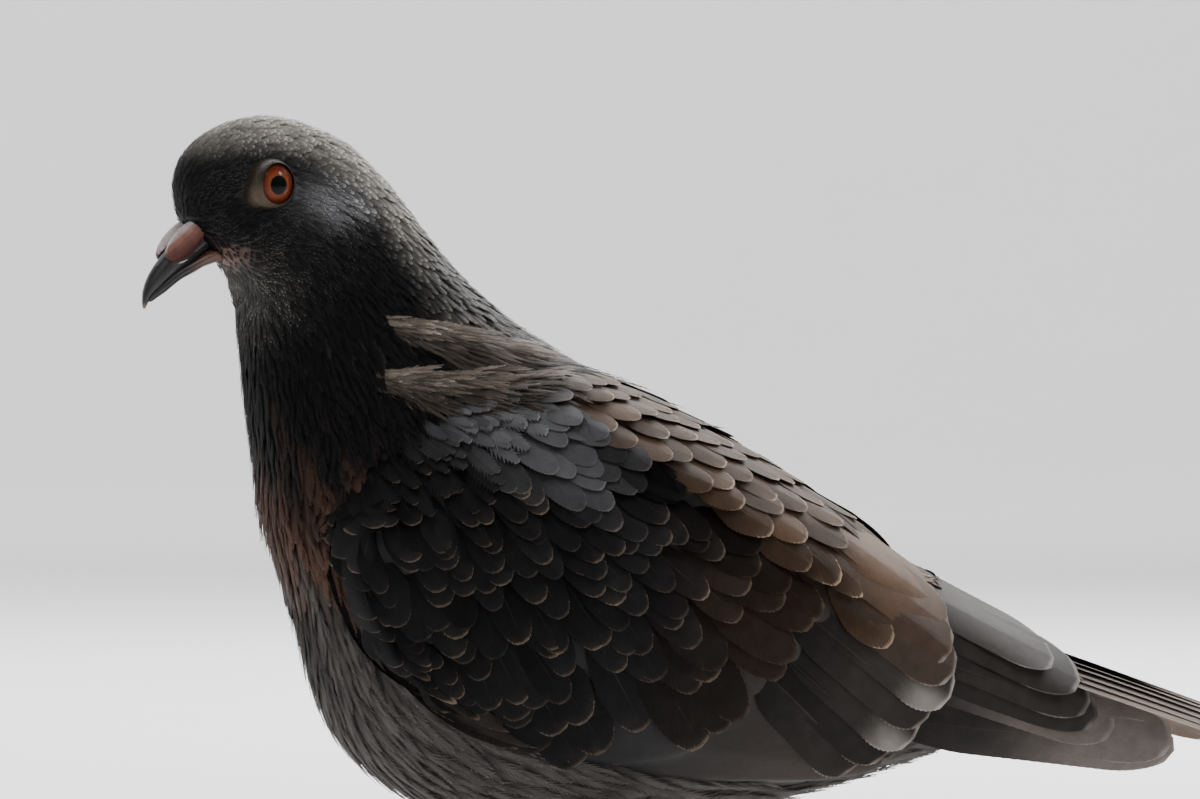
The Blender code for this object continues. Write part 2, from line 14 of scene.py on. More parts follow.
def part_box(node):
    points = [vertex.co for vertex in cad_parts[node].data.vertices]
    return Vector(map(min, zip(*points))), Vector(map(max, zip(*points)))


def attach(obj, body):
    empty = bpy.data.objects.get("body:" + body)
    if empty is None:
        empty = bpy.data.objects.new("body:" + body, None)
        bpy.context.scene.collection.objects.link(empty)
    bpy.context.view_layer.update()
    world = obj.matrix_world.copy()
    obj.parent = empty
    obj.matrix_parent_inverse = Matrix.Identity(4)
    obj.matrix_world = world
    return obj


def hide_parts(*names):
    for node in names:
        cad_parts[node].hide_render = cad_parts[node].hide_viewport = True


bl_info = {
    "name": "Standing pigeon",
    "version": (1, 0, 0),
    "blender": (4, 5, 0),
    "location": "View3D > Sidebar > Pigeon",
    "description": "Builds the skin, feathers, eyes, bill and legs of a life-size pigeon, and its studio",
    "category": "Object",
}

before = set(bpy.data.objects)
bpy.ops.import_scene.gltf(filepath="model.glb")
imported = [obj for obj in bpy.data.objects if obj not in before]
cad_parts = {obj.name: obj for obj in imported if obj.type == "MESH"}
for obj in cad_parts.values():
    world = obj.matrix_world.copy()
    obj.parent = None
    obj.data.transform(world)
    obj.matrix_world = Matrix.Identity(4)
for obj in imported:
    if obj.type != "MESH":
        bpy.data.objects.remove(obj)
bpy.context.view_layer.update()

MM = 0.001
MIDDLE_X = 47.15
SIDES = {"left": -1, "right": 1}
UP = Vector((0, 0, 1))
# Which of a feather patch's nine places are on its shaft at the root, the middle and the tip.
ROOT_PLACE, MID_PLACE, TIP_PLACE = 1, 4, 7
BAKE_PATCH = 0.003
FLESH = ("head", "neck", "trunk", "thigh_left", "thigh_right")
WING_BLOCKS = ("scapulars", "coverts", "secondaries")
WING_LAYERS = ("scapulars", "coverts", "secondaries", "primaries")
BARE = ("bill_upper", "bill_lower", "cere_left", "cere_right", "shank_left", "shank_right")
TOES = ("middle", "inner", "outer", "hind")
# Sizes of the fine meshes of bill, cere, legs and claws, and how high a leg's scales stand.
BILL_MESH, CERE_MESH, LEG_MESH, CLAW_MESH = 0.00026, 0.00024, 0.00042, 0.0002
SCUTE_HEIGHT = 0.00016

# The line that the feathers of the head, neck and body lie along, from the bill to the tail.
SPINE = [
    (-76, 152), (-66, 158.5), (-54, 162), (-45, 158), (-37, 147), (-29, 131), (-18, 112), (2, 97),
    (34, 84), (64, 72), (94, 62), (122, 55),
]
# The feathers of the wing point away from this place over the shoulder.
WING_HUB = (-45.0, 155.0)
# The front border of the folded wing's feathers, from the lower edge up over the shoulder.
SHOULDER = [
    (-33, 72), (-37.6, 79), (-40.8, 87), (-42.9, 98), (-42, 104), (-36, 109), (-30.5, 113),
    (-23.5, 119), (-17.2, 125), (-8, 129.5), (0, 131),
]
# The crease between scapulars and coverts.
FOLD = [(-5, 127.5), (6.3, 121.2), (20.5, 112.5), (33.6, 104.6), (46.7, 97.3), (62, 86), (78, 72)]


def at(x, z, y=0.0):
    """A place on the bird, from millimetres along, up and across."""
    return Vector(((x - MIDDLE_X) * MM, y * MM, z * MM))


def chart(points):
    """The along and up of many places, in millimetres."""
    return np.stack((points[:, 0] / MM + MIDDLE_X, points[:, 2] / MM), 1)


def fold_height(along):
    """Height of the crease between scapulars and coverts, in millimetres."""
    line = np.array(FOLD)
    return np.interp(along, line[:, 0], line[:, 1])


def smooth(low, high, value):
    """0 at low, 1 at high and a soft step between, whichever of the two is larger."""
    share = np.clip((value - low) / (high - low), 0, 1)
    return share * share * (3 - 2 * share)


def mixed(first, second, share):
    """Colours blended row by row."""
    share = np.asarray(share)[:, None]
    return np.asarray(first) * (1 - share) + np.asarray(second) * share


def unit(rows):
    return rows / np.maximum(np.linalg.norm(rows, axis=-1, keepdims=True), 1e-12)


# ---------------------------------------------------------------- sizes and colours

def colour(name, description, red, green, blue):
    return bpy.props.FloatVectorProperty(
        name=name, description=description, subtype="COLOR", size=3, min=0, max=1,
        default=(red, green, blue),
    )


def length(name, description, millimetres):
    return bpy.props.FloatProperty(
        name=name, description=description, unit="LENGTH", min=0, precision=5,
        default=millimetres * MM,
    )


def number(name, description, value):
    return bpy.props.FloatProperty(name=name, description=description, min=0, default=value)


class PigeonColours(bpy.types.PropertyGroup):
    """Colours of the plumage and the bare parts."""
    black: colour("Black", "Deep feathers of neck, throat and face", 0.0045, 0.0045, 0.0052)
    slate: colour("Slate", "Wing coverts", 0.0088, 0.0088, 0.0096)
    blue_grey: colour("Blue grey", "Shoulder and ear", 0.072, 0.072, 0.076)
    ear_light: colour("Ear barbs", "Pale barbs behind the eye", 0.34, 0.335, 0.33)
    crown: colour("Crown", "Small feathers of the crown", 0.135, 0.125, 0.113)
    crown_edge: colour("Crown edge", "Pale edges on the crown", 0.60, 0.56, 0.49)
    cheek_edge: colour("Cheek barbs", "Light barbs of cheek and throat", 0.20, 0.185, 0.165)
    nape: colour("Nape", "Hind neck streaks", 0.120, 0.096, 0.078)
    chestnut: colour("Chestnut", "Breast", 0.074, 0.036, 0.024)
    chestnut_edge: colour("Chestnut edge", "Frayed ends on the breast", 0.135, 0.074, 0.050)
    # Painted highlight on the upper strands of the neck's folds, where light from above catches them.
    ruffle: colour("Ruffle", "Frayed upper edges of the neck's loose folds", 0.66, 0.58, 0.49)
    taupe: colour("Taupe", "Belly and flanks", 0.100, 0.090, 0.084)
    taupe_edge: colour("Taupe edge", "Light streaks of the belly", 0.215, 0.195, 0.180)
    brown: colour("Brown", "Scapulars and back", 0.088, 0.053, 0.034)
    buff: colour("Buff", "Pale fringes of wing and back", 0.36, 0.26, 0.185)
    covert_fringe: colour("Covert fringe", "Thin fringes of the coverts", 0.20, 0.15, 0.11)
    quill: colour("Quill", "Flight feathers", 0.050, 0.043, 0.039)
    quill_tip: colour("Quill tip", "Worn ends of flight feathers", 0.21, 0.155, 0.125)
    outer_quill: colour("Outer quill", "Longest flight feathers, paler than the rest", 0.115, 0.098, 0.088)
    quill_edge: colour("Quill edge", "Thin whitish edges of primaries and tail", 0.44, 0.40, 0.36)
    tail: colour("Tail", "Tail feathers", 0.125, 0.100, 0.088)
    horn: colour("Horn", "Bill and claws", 0.016, 0.016, 0.018)
    horn_tip: colour("Horn tip", "Worn tip of the bill", 0.30, 0.20, 0.14)
    cere: colour("Cere", "Swollen skin over the nostrils", 0.27, 0.125, 0.095)
    # Also laid on the cere where it faces down, partly as painted shade.
    nostril: colour("Nostril", "Dark red skin beneath the cere", 0.085, 0.020, 0.014)
    # Laid on the cere where it faces up, both as its chalky bloom and as a painted highlight.
    cere_bloom: colour("Cere bloom", "Chalky bloom on the cere", 0.62, 0.58, 0.60)
    gape: colour("Gape", "Bare skin at the corner of the mouth", 0.165, 0.080, 0.061)
    lid: colour("Lid", "Bare ring around the eye", 0.20, 0.146, 0.103)
    lid_edge: colour("Lid edge", "Pale grains on the lid", 0.36, 0.355, 0.34)
    iris: colour("Iris", "Outer iris", 0.105, 0.019, 0.009)
    iris_ring: colour("Iris ring", "Bright ring around the pupil", 0.20, 0.050, 0.015)
    leg: colour("Leg", "Scales of legs and toes", 0.30, 0.060, 0.050)
    leg_edge: colour("Leg edge", "Dry edges of the scales", 0.50, 0.30, 0.26)
    studio: colour("Studio", "Floor and backdrop", 0.78, 0.78, 0.78)


class PigeonSizes(bpy.types.PropertyGroup):
    """Sizes of the skin and the coat."""
    voxel: length("Skin mesh", "Size of the skin's mesh", 1.05)
    head_depth: length("Head coat", "Depth of the coat on the head", 0.75)
    body_depth: length("Body coat", "Depth of the coat on the body", 1.7)
    wing_depth: length("Wing coat", "Depth of the coat on the wing", 1.5)
    row_gap: length("Covert rows", "Distance between rows of lesser coverts", 5.6)
    covert_width: length("Covert width", "Width of the lesser coverts", 8.4)
    eye_opening: length("Eye opening", "Half width of the opening between the lids", 3.75)
    scute: length("Scutes", "Distance between the scales of the leg", 1.5)


class PigeonStudio(bpy.types.PropertyGroup):
    """Camera, lamps and backdrop."""
    distance: length("Camera distance", "From the camera to the bird", 1800)
    aim_height: length("Aim height", "Height of the middle of the view", 125.52)
    aim_right: length("Aim to the right", "Shift of the view to the bird's rear", 20.833333)
    lens: number("Lens", "Focal length in millimetres", 259.2)
    azimuth: bpy.props.FloatProperty(
        name="Azimuth", description="Turn of the camera around the bird", subtype="ANGLE",
        default=math.radians(-17),
    )
    elevation: bpy.props.FloatProperty(
        name="Elevation", description="Height angle of the camera", subtype="ANGLE",
        default=math.radians(1),
    )
    back_power: number("Back lamp", "Power of the soft lamp behind and above, in watts", 46)
    wall_power: number("Wall lamp", "Power of the lamps on the backdrop, in watts", 110)
    top_power: number("Top lamp", "Power of the lamps above and in front, in watts", 5.0)
    fill_power: number("Fill lamp", "Power of the weak lamp beside the camera, in watts", 0.5)
    sky: number("Sky", "Strength of the even light all round", 0.03)


def colours():
    return bpy.context.scene.pigeon_colours


def sizes():
    return bpy.context.scene.pigeon_sizes


def tint(name):
    return np.array(getattr(colours(), name))


# ---------------------------------------------------------------- meshes

def array_mesh(name, points, triangles):
    """A mesh of triangles from arrays."""
    mesh = bpy.data.meshes.new(name)
    mesh.vertices.add(len(points))
    mesh.vertices.foreach_set("co", np.asarray(points, np.float32).ravel())
    corners = np.asarray(triangles, np.int32).ravel()
    mesh.loops.add(len(corners))
    mesh.loops.foreach_set("vertex_index", corners)
    mesh.polygons.add(len(corners) // 3)
    mesh.polygons.foreach_set("loop_start", np.arange(0, len(corners), 3, dtype=np.int32))
    mesh.update(calc_edges=True)
    mesh.shade_smooth()
    return mesh


def read_rows(items, name, columns, kind=np.float32):
    """Rows of numbers read from all items of a mesh at once."""
    flat = np.empty(len(items) * columns, kind)
    items.foreach_get(name, flat)
    return flat.reshape(-1, columns)


def mesh_points(mesh):
    return read_rows(mesh.vertices, "co", 3).astype(float)


def mesh_normals(mesh):
    return read_rows(mesh.vertex_normals, "vector", 3).astype(float)


def mesh_triangles(mesh):
    mesh.calc_loop_triangles()
    return read_rows(mesh.loop_triangles, "vertices", 3, np.int32)


def ring_faces(rings, spokes):
    """Triangles between rings of points laid one after another."""
    faces = []
    for ring in range(rings):
        for spoke in range(spokes):
            a, b = ring * spokes + spoke, ring * spokes + (spoke + 1) % spokes
            c, d = a + spokes, b + spokes
            faces += [(a, c, d), (a, d, b)]
    return faces


def set_points(mesh, points):
    mesh.vertices.foreach_set("co", np.asarray(points, np.float32).ravel())
    mesh.update()


def set_map(mesh, name, values):
    """A UV map from one value per vertex."""
    corners = read_rows(mesh.loops, "vertex_index", 1, np.int32)[:, 0]
    layer = mesh.uv_layers.new(name=name, do_init=False)
    layer.uv.foreach_set("vector", np.asarray(values, np.float32)[corners].ravel())


def set_colour(mesh, name, values):
    """A colour on every vertex."""
    layer = mesh.attributes.new(name, "FLOAT_COLOR", "POINT")
    rows = np.concatenate((values, np.ones((len(values), 1))), 1)
    layer.data.foreach_set("color", rows.astype(np.float32).ravel())


def set_value(mesh, name, values):
    """A number on every vertex."""
    layer = mesh.attributes.new(name, "FLOAT", "POINT")
    layer.data.foreach_set("value", np.asarray(values, np.float32))


def joined(names):
    """Points and triangles of several nodes together."""
    points, triangles, count = [], [], 0
    for name in names:
        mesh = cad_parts[name].data
        points.append(mesh_points(mesh))
        triangles.append(mesh_triangles(mesh) + count)
        count += len(points[-1])
    return np.concatenate(points), np.concatenate(triangles)


def tree_of(names):
    points, triangles = joined(names)
    return BVHTree.FromPolygons(points.tolist(), triangles.tolist())


def piece(name, mesh, finish, *nodes):
    """Links a mesh as a piece of the bird that stands for some nodes."""
    made = bpy.data.objects.new(name, mesh)
    bpy.context.scene.collection.objects.link(made)
    if finish:
        made.data.materials.append(finish)
    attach(made, "root")
    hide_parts(*nodes)
    return made


def applied(obj, kind, **settings):
    """The mesh of an object after one modifier."""
    modifier = obj.modifiers.new(kind.title(), kind)
    for name, value in settings.items():
        setattr(modifier, name, value)
    bpy.context.view_layer.update()
    graph = bpy.context.evaluated_depsgraph_get()
    mesh = bpy.data.meshes.new_from_object(obj.evaluated_get(graph))
    obj.modifiers.remove(modifier)
    return mesh


def relaxed(mesh, values, times):
    """Vertex values averaged with their neighbours, some times over."""
    ends = read_rows(mesh.edges, "vertices", 2, np.int32)
    count = np.bincount(ends.ravel(), minlength=len(values))[:, None].clip(1)
    for _ in range(times):
        total = np.zeros_like(values)
        np.add.at(total, ends[:, 0], values[ends[:, 1]])
        np.add.at(total, ends[:, 1], values[ends[:, 0]])
        values = 0.5 * values + 0.5 * total / count
    return values


def melted(names, voxel, times):
    """One smooth closed mesh around several nodes."""
    points, triangles = joined(names)
    mesh = array_mesh("melted", points, triangles)
    lump = bpy.data.objects.new("melted", mesh)
    bpy.context.scene.collection.objects.link(lump)
    made = applied(lump, "REMESH", mode="VOXEL", voxel_size=voxel)
    bpy.data.objects.remove(lump)
    if len(made.vertices) < 8:
        raise RuntimeError(f"nothing was left of {names} at {voxel} m")
    set_points(made, relaxed(made, mesh_points(made), times))
    made.shade_smooth()
    return made


def unwrapped(obj):
    """Unwraps a piece by its own shape."""
    bpy.ops.object.select_all(action="DESELECT")
    obj.select_set(True)
    bpy.context.view_layer.objects.active = obj
    obj.data.uv_layers.active = obj.data.uv_layers.new(name="OFBake")
    bpy.ops.object.mode_set(mode="EDIT")
    bpy.ops.mesh.select_all(action="SELECT")
    bpy.ops.uv.smart_project(angle_limit=math.radians(66), island_margin=0.002)
    bpy.ops.object.mode_set(mode="OBJECT")
    obj.select_set(False)


def bare_piece(name, mesh, finish_name, slot, *nodes):
    """A piece without feathers, unwrapped by its own shape."""
    made = piece(name, mesh, finish(finish_name), *nodes)
    unwrapped(made)


# ---------------------------------------------------------------- the lie of the coat

def course(points, per_span=12):
    """A smooth line through some places, and its direction at each step."""
    rows = np.array([at(x, z) for x, z in points])
    padded = np.concatenate((rows[:1], rows, rows[-1:]))
    share = np.linspace(0, 1, per_span, endpoint=False)[:, None]
    line = []
    for a, b, c, d in zip(padded, padded[1:], padded[2:], padded[3:]):
        line.append(0.5 * (
            2 * b + (c - a) * share + (2 * a - 5 * b + 4 * c - d) * share ** 2
            + (3 * b - a - 3 * c + d) * share ** 3
        ))
    line = np.concatenate(line)
    return line, unit(np.gradient(line, axis=0))


class Lie:
    """Where a place is along the spine, how high above it, and which way the coat lies there."""

    def __init__(self):
        self.line, self.ways = course(SPINE)
        steps = np.linalg.norm(np.diff(self.line, axis=0), axis=1)
        self.run = np.concatenate(([0], np.cumsum(steps))) / MM
        eyes = [sum(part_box("eye_" + side), Vector()) / 2 for side in SIDES]
        self.eyes = eyes
        self.outward = (eyes[0] - eyes[1]).normalized()
        self.forward = self.outward.cross(Vector((0, 0, 1))).normalized()
        if self.forward.x > 0:
            self.forward.negate()

    def nearest(self, points):
        flat = points[:, None, [0, 2]] - self.line[None, :, [0, 2]]
        return np.argmin((flat ** 2).sum(2), axis=1)

    def read(self, points):
        """Millimetres along the spine, and millimetres above it towards the back."""
        found = self.nearest(points)
        ways = self.ways[found]
        upward = np.stack((-ways[:, 2], np.zeros(len(ways)), ways[:, 0]), 1)
        rise = ((points - self.line[found]) * upward)[:, [0, 2]].sum(1) / MM
        return self.run[found], rise

    def way(self, points, normals):
        """The direction of the coat on the surface."""
        found = self.nearest(points)
        ways = self.ways[found].copy()
        run, rise = self.read(points)
        level = np.array((0.9, 0.0, -0.42))
        back = smooth(6, 20, rise) * smooth(60, 100, run)
        ways = unit(mixed(ways, level, back))
        turn = (1 - smooth(35, 75, run))[:, None]
        sideways = np.array((0.0, 1.0, 0.0)) * -self.forward.y
        ways = ways + turn * ways[:, :1] * sideways
        ways = ways - (ways * normals).sum(1)[:, None] * normals
        return unit(ways)


# ---------------------------------------------------------------- the shape of one feather

def round_end(along):
    """Half width of a broad, round-ended feather."""
    rising = 0.42 + 0.58 * (along / 0.45) ** 0.7
    falling = np.sqrt(np.clip(1 - ((along - 0.45) / 0.56) ** 2, 0, 1))
    return np.where(along < 0.45, rising, falling)


def lance_end(along):
    """Half width of a narrow, pointed feather."""
    rising = (along / 0.35 + 0.02) ** 0.55
    falling = 1 - (np.clip(along - 0.35, 0, 1) / 0.68) ** 1.7
    return np.where(along < 0.35, rising, falling).clip(0.03, 1)


def quill_end(along):
    """Half width of a long flight feather."""
    rising = 0.35 + 0.65 * smooth(0.0, 0.4, along)
    falling = np.sqrt(np.clip(1 - ((along - 0.82) / 0.185) ** 2, 0, 1))
    return np.where(along < 0.82, rising, falling)


# How strongly the barbs bow towards the tip, and the shortest and longest reach of a loose one.
BARB_BOW, SHORTEST, LONGEST = 0.85, 0.25, 1.12


class Vane:
    """One feather in its own measure: along 0 to 1, across -1 to 1, and height in half widths."""

    def __init__(self, outline, lines, cells, core, ragged, camber, seed, lag=0.26):
        """lines is the number of barbs a side, cells the number of strips in the closed web, core
        the share of the half width that is closed, ragged how unevenly the barbs end beyond it,
        camber how far the web curves down, and lag how far a barb's root lies behind its end."""
        rng = np.random.default_rng(seed)
        self.rows, self.marks, self.faces = [], [], []
        self.core, self.camber = core, camber
        steps = np.linspace(0, 1, lines + 1)
        self.margin = 0.04 + 0.945 * (1 - (1 - steps) ** 1.35)
        self.width = outline(self.margin)
        self.base = np.clip(self.margin - lag * self.width, 0, 1) * steps ** 0.15
        self.base[-1] = 0.975
        ragged_rows = 1 + ragged * rng.uniform(-1, 0.6, (2, lines))
        shaft = [self.add(along, 0, 0.015, 0, along) for along in self.base]
        corners = []
        for side, reaches in zip((-1, 1), ragged_rows):
            rim = self.web(side, shaft, cells)
            self.barbs(side, rim, reaches, rng)
            corners.append((side, rim[-1]))
        tip = self.add(1.0, 0, 0.0, 0.0, 1.0)
        for side, corner in corners:
            self.face(side, shaft[-1], tip, corner)
        self.along, self.across, self.height = np.array(self.rows).T
        self.marks = np.array(self.marks)
        self.faces = np.array(self.faces)

    def web(self, side, before, cells):
        """The closed part of one side, from the shaft outwards. Returns its outer row."""
        for cell in range(1, cells + 1):
            share = self.core * cell / cells
            here = []
            for margin, width, base in zip(self.margin, self.width, self.base):
                along = base + (margin - base) * share ** BARB_BOW
                across = side * width * share
                here.append(self.add(along, across, -self.camber * across ** 2, side * share, along))
            for line in range(len(before) - 1):
                self.face(side, before[line], before[line + 1], here[line + 1])
                self.face(side, before[line], here[line + 1], here[line])
            before = here
        return before

    def barbs(self, side, rim, reaches, rng):
        """The loose ends of the barbs beyond the closed part of one side."""
        loose = 1 - self.core
        middle, start, wide = (
            (row[:-1] + row[1:]) / 2 for row in (self.margin, self.base, self.width)
        )
        for line, reach in enumerate(reaches):
            reach = self.core + loose * max(SHORTEST, reach)
            bowed = (middle[line] - start[line]) * reach ** BARB_BOW
            along = start[line] + bowed + 0.02 * loose
            across = side * wide[line] * min(reach, LONGEST)
            lift = -self.camber * across ** 2 + rng.uniform(-0.02, 0.10) * loose
            end = self.add(along, across, lift, side * min(reach, 1.0), along)
            self.face(side, rim[line], rim[line + 1], end)

    def add(self, along, across, height, edge, mark):
        self.rows.append((along, across, height))
        self.marks.append((0.5 + 0.5 * edge, mark))
        return len(self.rows) - 1

    def face(self, side, a, b, c):
        self.faces.append((a, b, c) if side < 0 else (a, c, b))


def vanes(outline, lines, cells, core, ragged, camber, seed):
    """A few like feathers that differ in how their barbs end."""
    shape = (outline, lines, cells, core, ragged, camber)
    return [Vane(*shape, seed + k) for k in range(LIKE_VANES)]


def bend_shares(along, across):
    """Shares of a patch's nine places: root, middle and tip, each at its left, shaft and right."""
    a, c = along, across
    down = np.stack((2 * (a - 0.5) * (a - 1), 4 * a * (1 - a), 2 * a * (a - 0.5)))
    over = np.stack((c * (c - 1) / 2, 1 - c * c, c * (c + 1) / 2))
    return (down[:, None] * over[None, :]).reshape(9, -1).T


class Plumage:
    """Gathers laid feathers and makes one mesh of them."""

    def __init__(self):
        self.points, self.faces, self.marks, self.bake = [], [], [], []
        self.ground, self.edging, self.count, self.laid = [], [], 0, 0

    def lay(self, vane, patches, normals, low, high, half_widths, roots, ground, edging, shade=0.6,
            roll=0.0):
        """Bends one vane over many patches. low and high are the lifts at root and tip, shade is
        how much of its colour a feather keeps at the root, darkened there as painted shade, and roll lifts
        one side of it."""
        shares = bend_shares(vane.along, vane.across)
        places = np.einsum("vk,fkx->fvx", shares, patches)
        out = unit(np.einsum("vk,fkx->fvx", shares, normals))
        rise = low[:, None] + (high - low)[:, None] * vane.along[None, :]
        rise = rise + half_widths[:, None] * (vane.height + roll * vane.across)[None, :]
        places = places + out * rise[:, :, None]
        birds, size = len(patches), len(vane.along)
        self.points.append(places.reshape(-1, 3))
        offsets = self.count + size * np.arange(birds)
        faces = vane.faces[None] + offsets[:, None, None]
        one, two, three = (places[:, vane.faces[:, k]] for k in range(3))
        facing = np.einsum("fnx,fx->f", np.cross(two - one, three - one), out.mean(1))
        faces[facing < 0] = faces[facing < 0][:, :, ::-1]
        self.faces.append(faces.reshape(-1, 3))
        self.marks.append(np.tile(vane.marks, (birds, 1)))
        spot = np.stack((vane.across * 0.5, vane.along - 0.5), 1) * BAKE_PATCH
        self.bake.append((roots[:, None, :] + spot[None]).reshape(-1, 2))
        # Painted shade: each feather is darker towards its root, where the feathers over it lie.
        tone = shade + (1 - shade) * smooth(0.15, 0.75, vane.along)
        tone = np.tile(tone, birds)[:, None]
        self.ground.append(np.repeat(ground, size, axis=0) * tone)
        self.edging.append(np.repeat(edging, size, axis=0) * tone)
        self.count += birds * size
        self.laid += birds

    def lay_kinds(self, kinds, wanted, patches, normals, low, high, half_widths, roots, ground,
                  edging, roll=0.0):
        """Lays the wanted feathers, each with the vane of its kind."""
        columns = (patches, normals, low, high, half_widths, roots, ground, edging)
        for key, vane in VANES.items():
            chosen = wanted & (kinds == key)
            if chosen.any():
                self.lay(vane, *(column[chosen] for column in columns), roll=roll)

    def made(self, name, finish, slot, *nodes):
        if not self.laid:
            raise RuntimeError(f"no feather was laid for {name}")
        mesh = array_mesh(name, np.concatenate(self.points), np.concatenate(self.faces))
        set_map(mesh, "OFBake", np.concatenate(self.bake))
        set_map(mesh, "Vane", np.concatenate(self.marks))
        set_colour(mesh, "ground", np.concatenate(self.ground).clip(0, 1))
        set_colour(mesh, "edging", np.concatenate(self.edging).clip(0, 1))
        piece(name, mesh, finish, *nodes)


class Ground:
    """The skin as feathers find it: nearest place, softened normal, and place on its unwrap."""

    def __init__(self, skin):
        mesh = skin.data
        self.points = mesh_points(mesh)
        self.triangles = mesh_triangles(mesh)
        self.tree = BVHTree.FromPolygons(self.points.tolist(), self.triangles.tolist())
        normals = unit(relaxed(mesh, mesh_normals(mesh), 6))
        self.normals = unit(normals[self.triangles].mean(1))
        loops = read_rows(mesh.loop_triangles, "loops", 3, np.int32)
        self.unwrap = read_rows(mesh.uv_layers["OFBake"].uv, "vector", 2)[loops].mean(1)
        corners = self.points[self.triangles]
        cross = np.cross(corners[:, 1] - corners[:, 0], corners[:, 2] - corners[:, 0])
        self.areas = np.linalg.norm(cross, axis=1) / 2
        self.middles = corners.mean(1)

    def near(self, place):
        found, _, index, _ = self.tree.find_nearest(place)
        return np.array(found), self.normals[index], index

    def scatter(self, wanted, gap, seed, tries=7):
        """Places at least gap apart on the wanted triangles. gap is one number per triangle."""
        rng = np.random.default_rng(seed)
        chosen = np.flatnonzero(wanted)
        density = self.areas[chosen] / gap[chosen] ** 2
        count = int(density.sum() * tries)
        pick = rng.choice(chosen, count, p=density / density.sum())
        u, v = rng.random((2, count))
        flip = u + v > 1
        u[flip], v[flip] = 1 - u[flip], 1 - v[flip]
        a, b, c = self.points[self.triangles[pick]].transpose(1, 0, 2)
        places = a + (b - a) * u[:, None] + (c - a) * v[:, None]
        cell = gap[chosen].max()
        cells = np.floor(places / cell).astype(int)
        kept, taken = {}, []
        for k in range(count):
            key = tuple(cells[k])
            if self.free(kept, key, places[k], gap[pick[k]]):
                kept.setdefault(key, []).append(tuple(places[k]))
                taken.append(k)
        return places[taken], pick[taken]

    @staticmethod
    def free(kept, key, place, gap):
        x, y, z = key
        px, py, pz = place
        limit = gap * gap
        for i in (x - 1, x, x + 1):
            for j in (y - 1, y, y + 1):
                for k in (z - 1, z, z + 1):
                    for qx, qy, qz in kept.get((i, j, k), ()):
                        if (px - qx) ** 2 + (py - qy) ** 2 + (pz - qz) ** 2 < limit:
                            return False
        return True

    def patches(self, roots, ways, lengths, half_widths):
        """Nine places and normals for each feather, found by walking over the skin."""
        places = np.empty((len(roots), 9, 3))
        normals = np.empty((len(roots), 9, 3))
        for k, root in enumerate(roots):
            way, here = ways[k], root
            _, normal, _ = self.near(Vector(here))
            for row in range(3):
                across = unit(np.cross(normal, way))
                for column, side in enumerate((-1, 0, 1)):
                    spot = here + across * side * half_widths[k]
                    place, out, _ = self.near(Vector(spot))
                    places[k, 3 * row + column] = place
                    normals[k, 3 * row + column] = out
                step = here + way * lengths[k] / 2
                here, normal, _ = self.near(Vector(step))
                way = unit(way - way.dot(normal) * normal)
        return places, normals


def plain(values, rng, spread=0.12):
    """Each feather a little lighter or darker than its neighbours."""
    return values * (1 + spread * rng.standard_normal((len(values), 1))).clip(0.6, 1.5)


# ---------------------------------------------------------------- markings of the body

def blob(spots, x, z, wide, high):
    """1 in the middle of an oval patch of the side view, fading to 0 around it."""
    return np.exp(-(((spots[:, 0] - x) / wide) ** 2 + ((spots[:, 1] - z) / high) ** 2))


def ear_patch(points):
    """1 in the middle of the ear coverts behind the eye, 0 outside them."""
    return blob(chart(points), -41, 167.5, 6.5, 4.2) * smooth(6, 10, np.abs(points[:, 1]) / MM)


def crown_share(run, rise):
    """1 on the scaly crown and nape, 0 on face and neck."""
    border = np.interp(run, (10, 22, 42, 62), (16.5, 14.5, 12.5, 12.0))
    return smooth(-3.0, 4.5, rise - border) * (1 - smooth(54, 68, run))


class Paint:
    """Ground and edge colours of some places, with markings laid over them one after another."""

    def __init__(self, ground, edging):
        self.ground, self.edging = ground, edging

    def over(self, share, ground, edging, thin=1.0):
        """Lays a marking. thin is how much of it the ground takes beside the edges."""
        self.ground = mixed(self.ground, ground, share * thin)
        self.edging = mixed(self.edging, edging, share)


def body_markings(lie, points):
    """Ground and edge colours of head, neck and body at some places, with painted light on the top of the
    crown, and where the gape is.
    """
    run, rise = lie.read(points)
    spots = chart(points)
    black = np.tile(tint("black"), (len(points), 1))
    paint = Paint(black, black * 2.4)
    paint.over(1 - smooth(30, 50, run), tint("black") * 1.5, tint("cheek_edge") * 0.5)
    chin = blob(spots, -59, 148, 7.0, 6.5) * (1 - smooth(-6, 2, rise))
    paint.over(chin, tint("cheek_edge") * 0.5, tint("cheek_edge") * 3.6, 0.6)
    # Painted light: the crown is lighter towards its top, as if lit from above, less so towards the nape.
    lit = smooth(-2.0, 6.0, rise - 14) * (1 - 0.6 * smooth(34, 56, run))
    faded = 1 - 0.82 * smooth(26, 60, run)
    scale = tint("crown") * ((0.35 + 1.35 * lit) * faded)[:, None]
    rim = tint("crown_edge") * ((0.45 + 0.6 * lit) * faded)[:, None]
    paint.over(crown_share(run, rise), scale, rim)
    paint.over(ear_patch(points), tint("blue_grey") * 2.4, tint("ear_light") * 1.9)
    hind = smooth(7, 15, rise) * smooth(50, 70, run)
    paint.over(hind, tint("nape") * 0.35, tint("nape") * 1.05, 0.8)
    paint_underside(paint, points, rise)
    back = smooth(88, 112, run) * smooth(4, 16, rise)
    paint.over(back, tint("brown"), tint("buff"))
    gape = blob(spots, -62.5, 155.0, 5.4, 3.1) * 0.95
    return paint.ground, paint.edging, gape


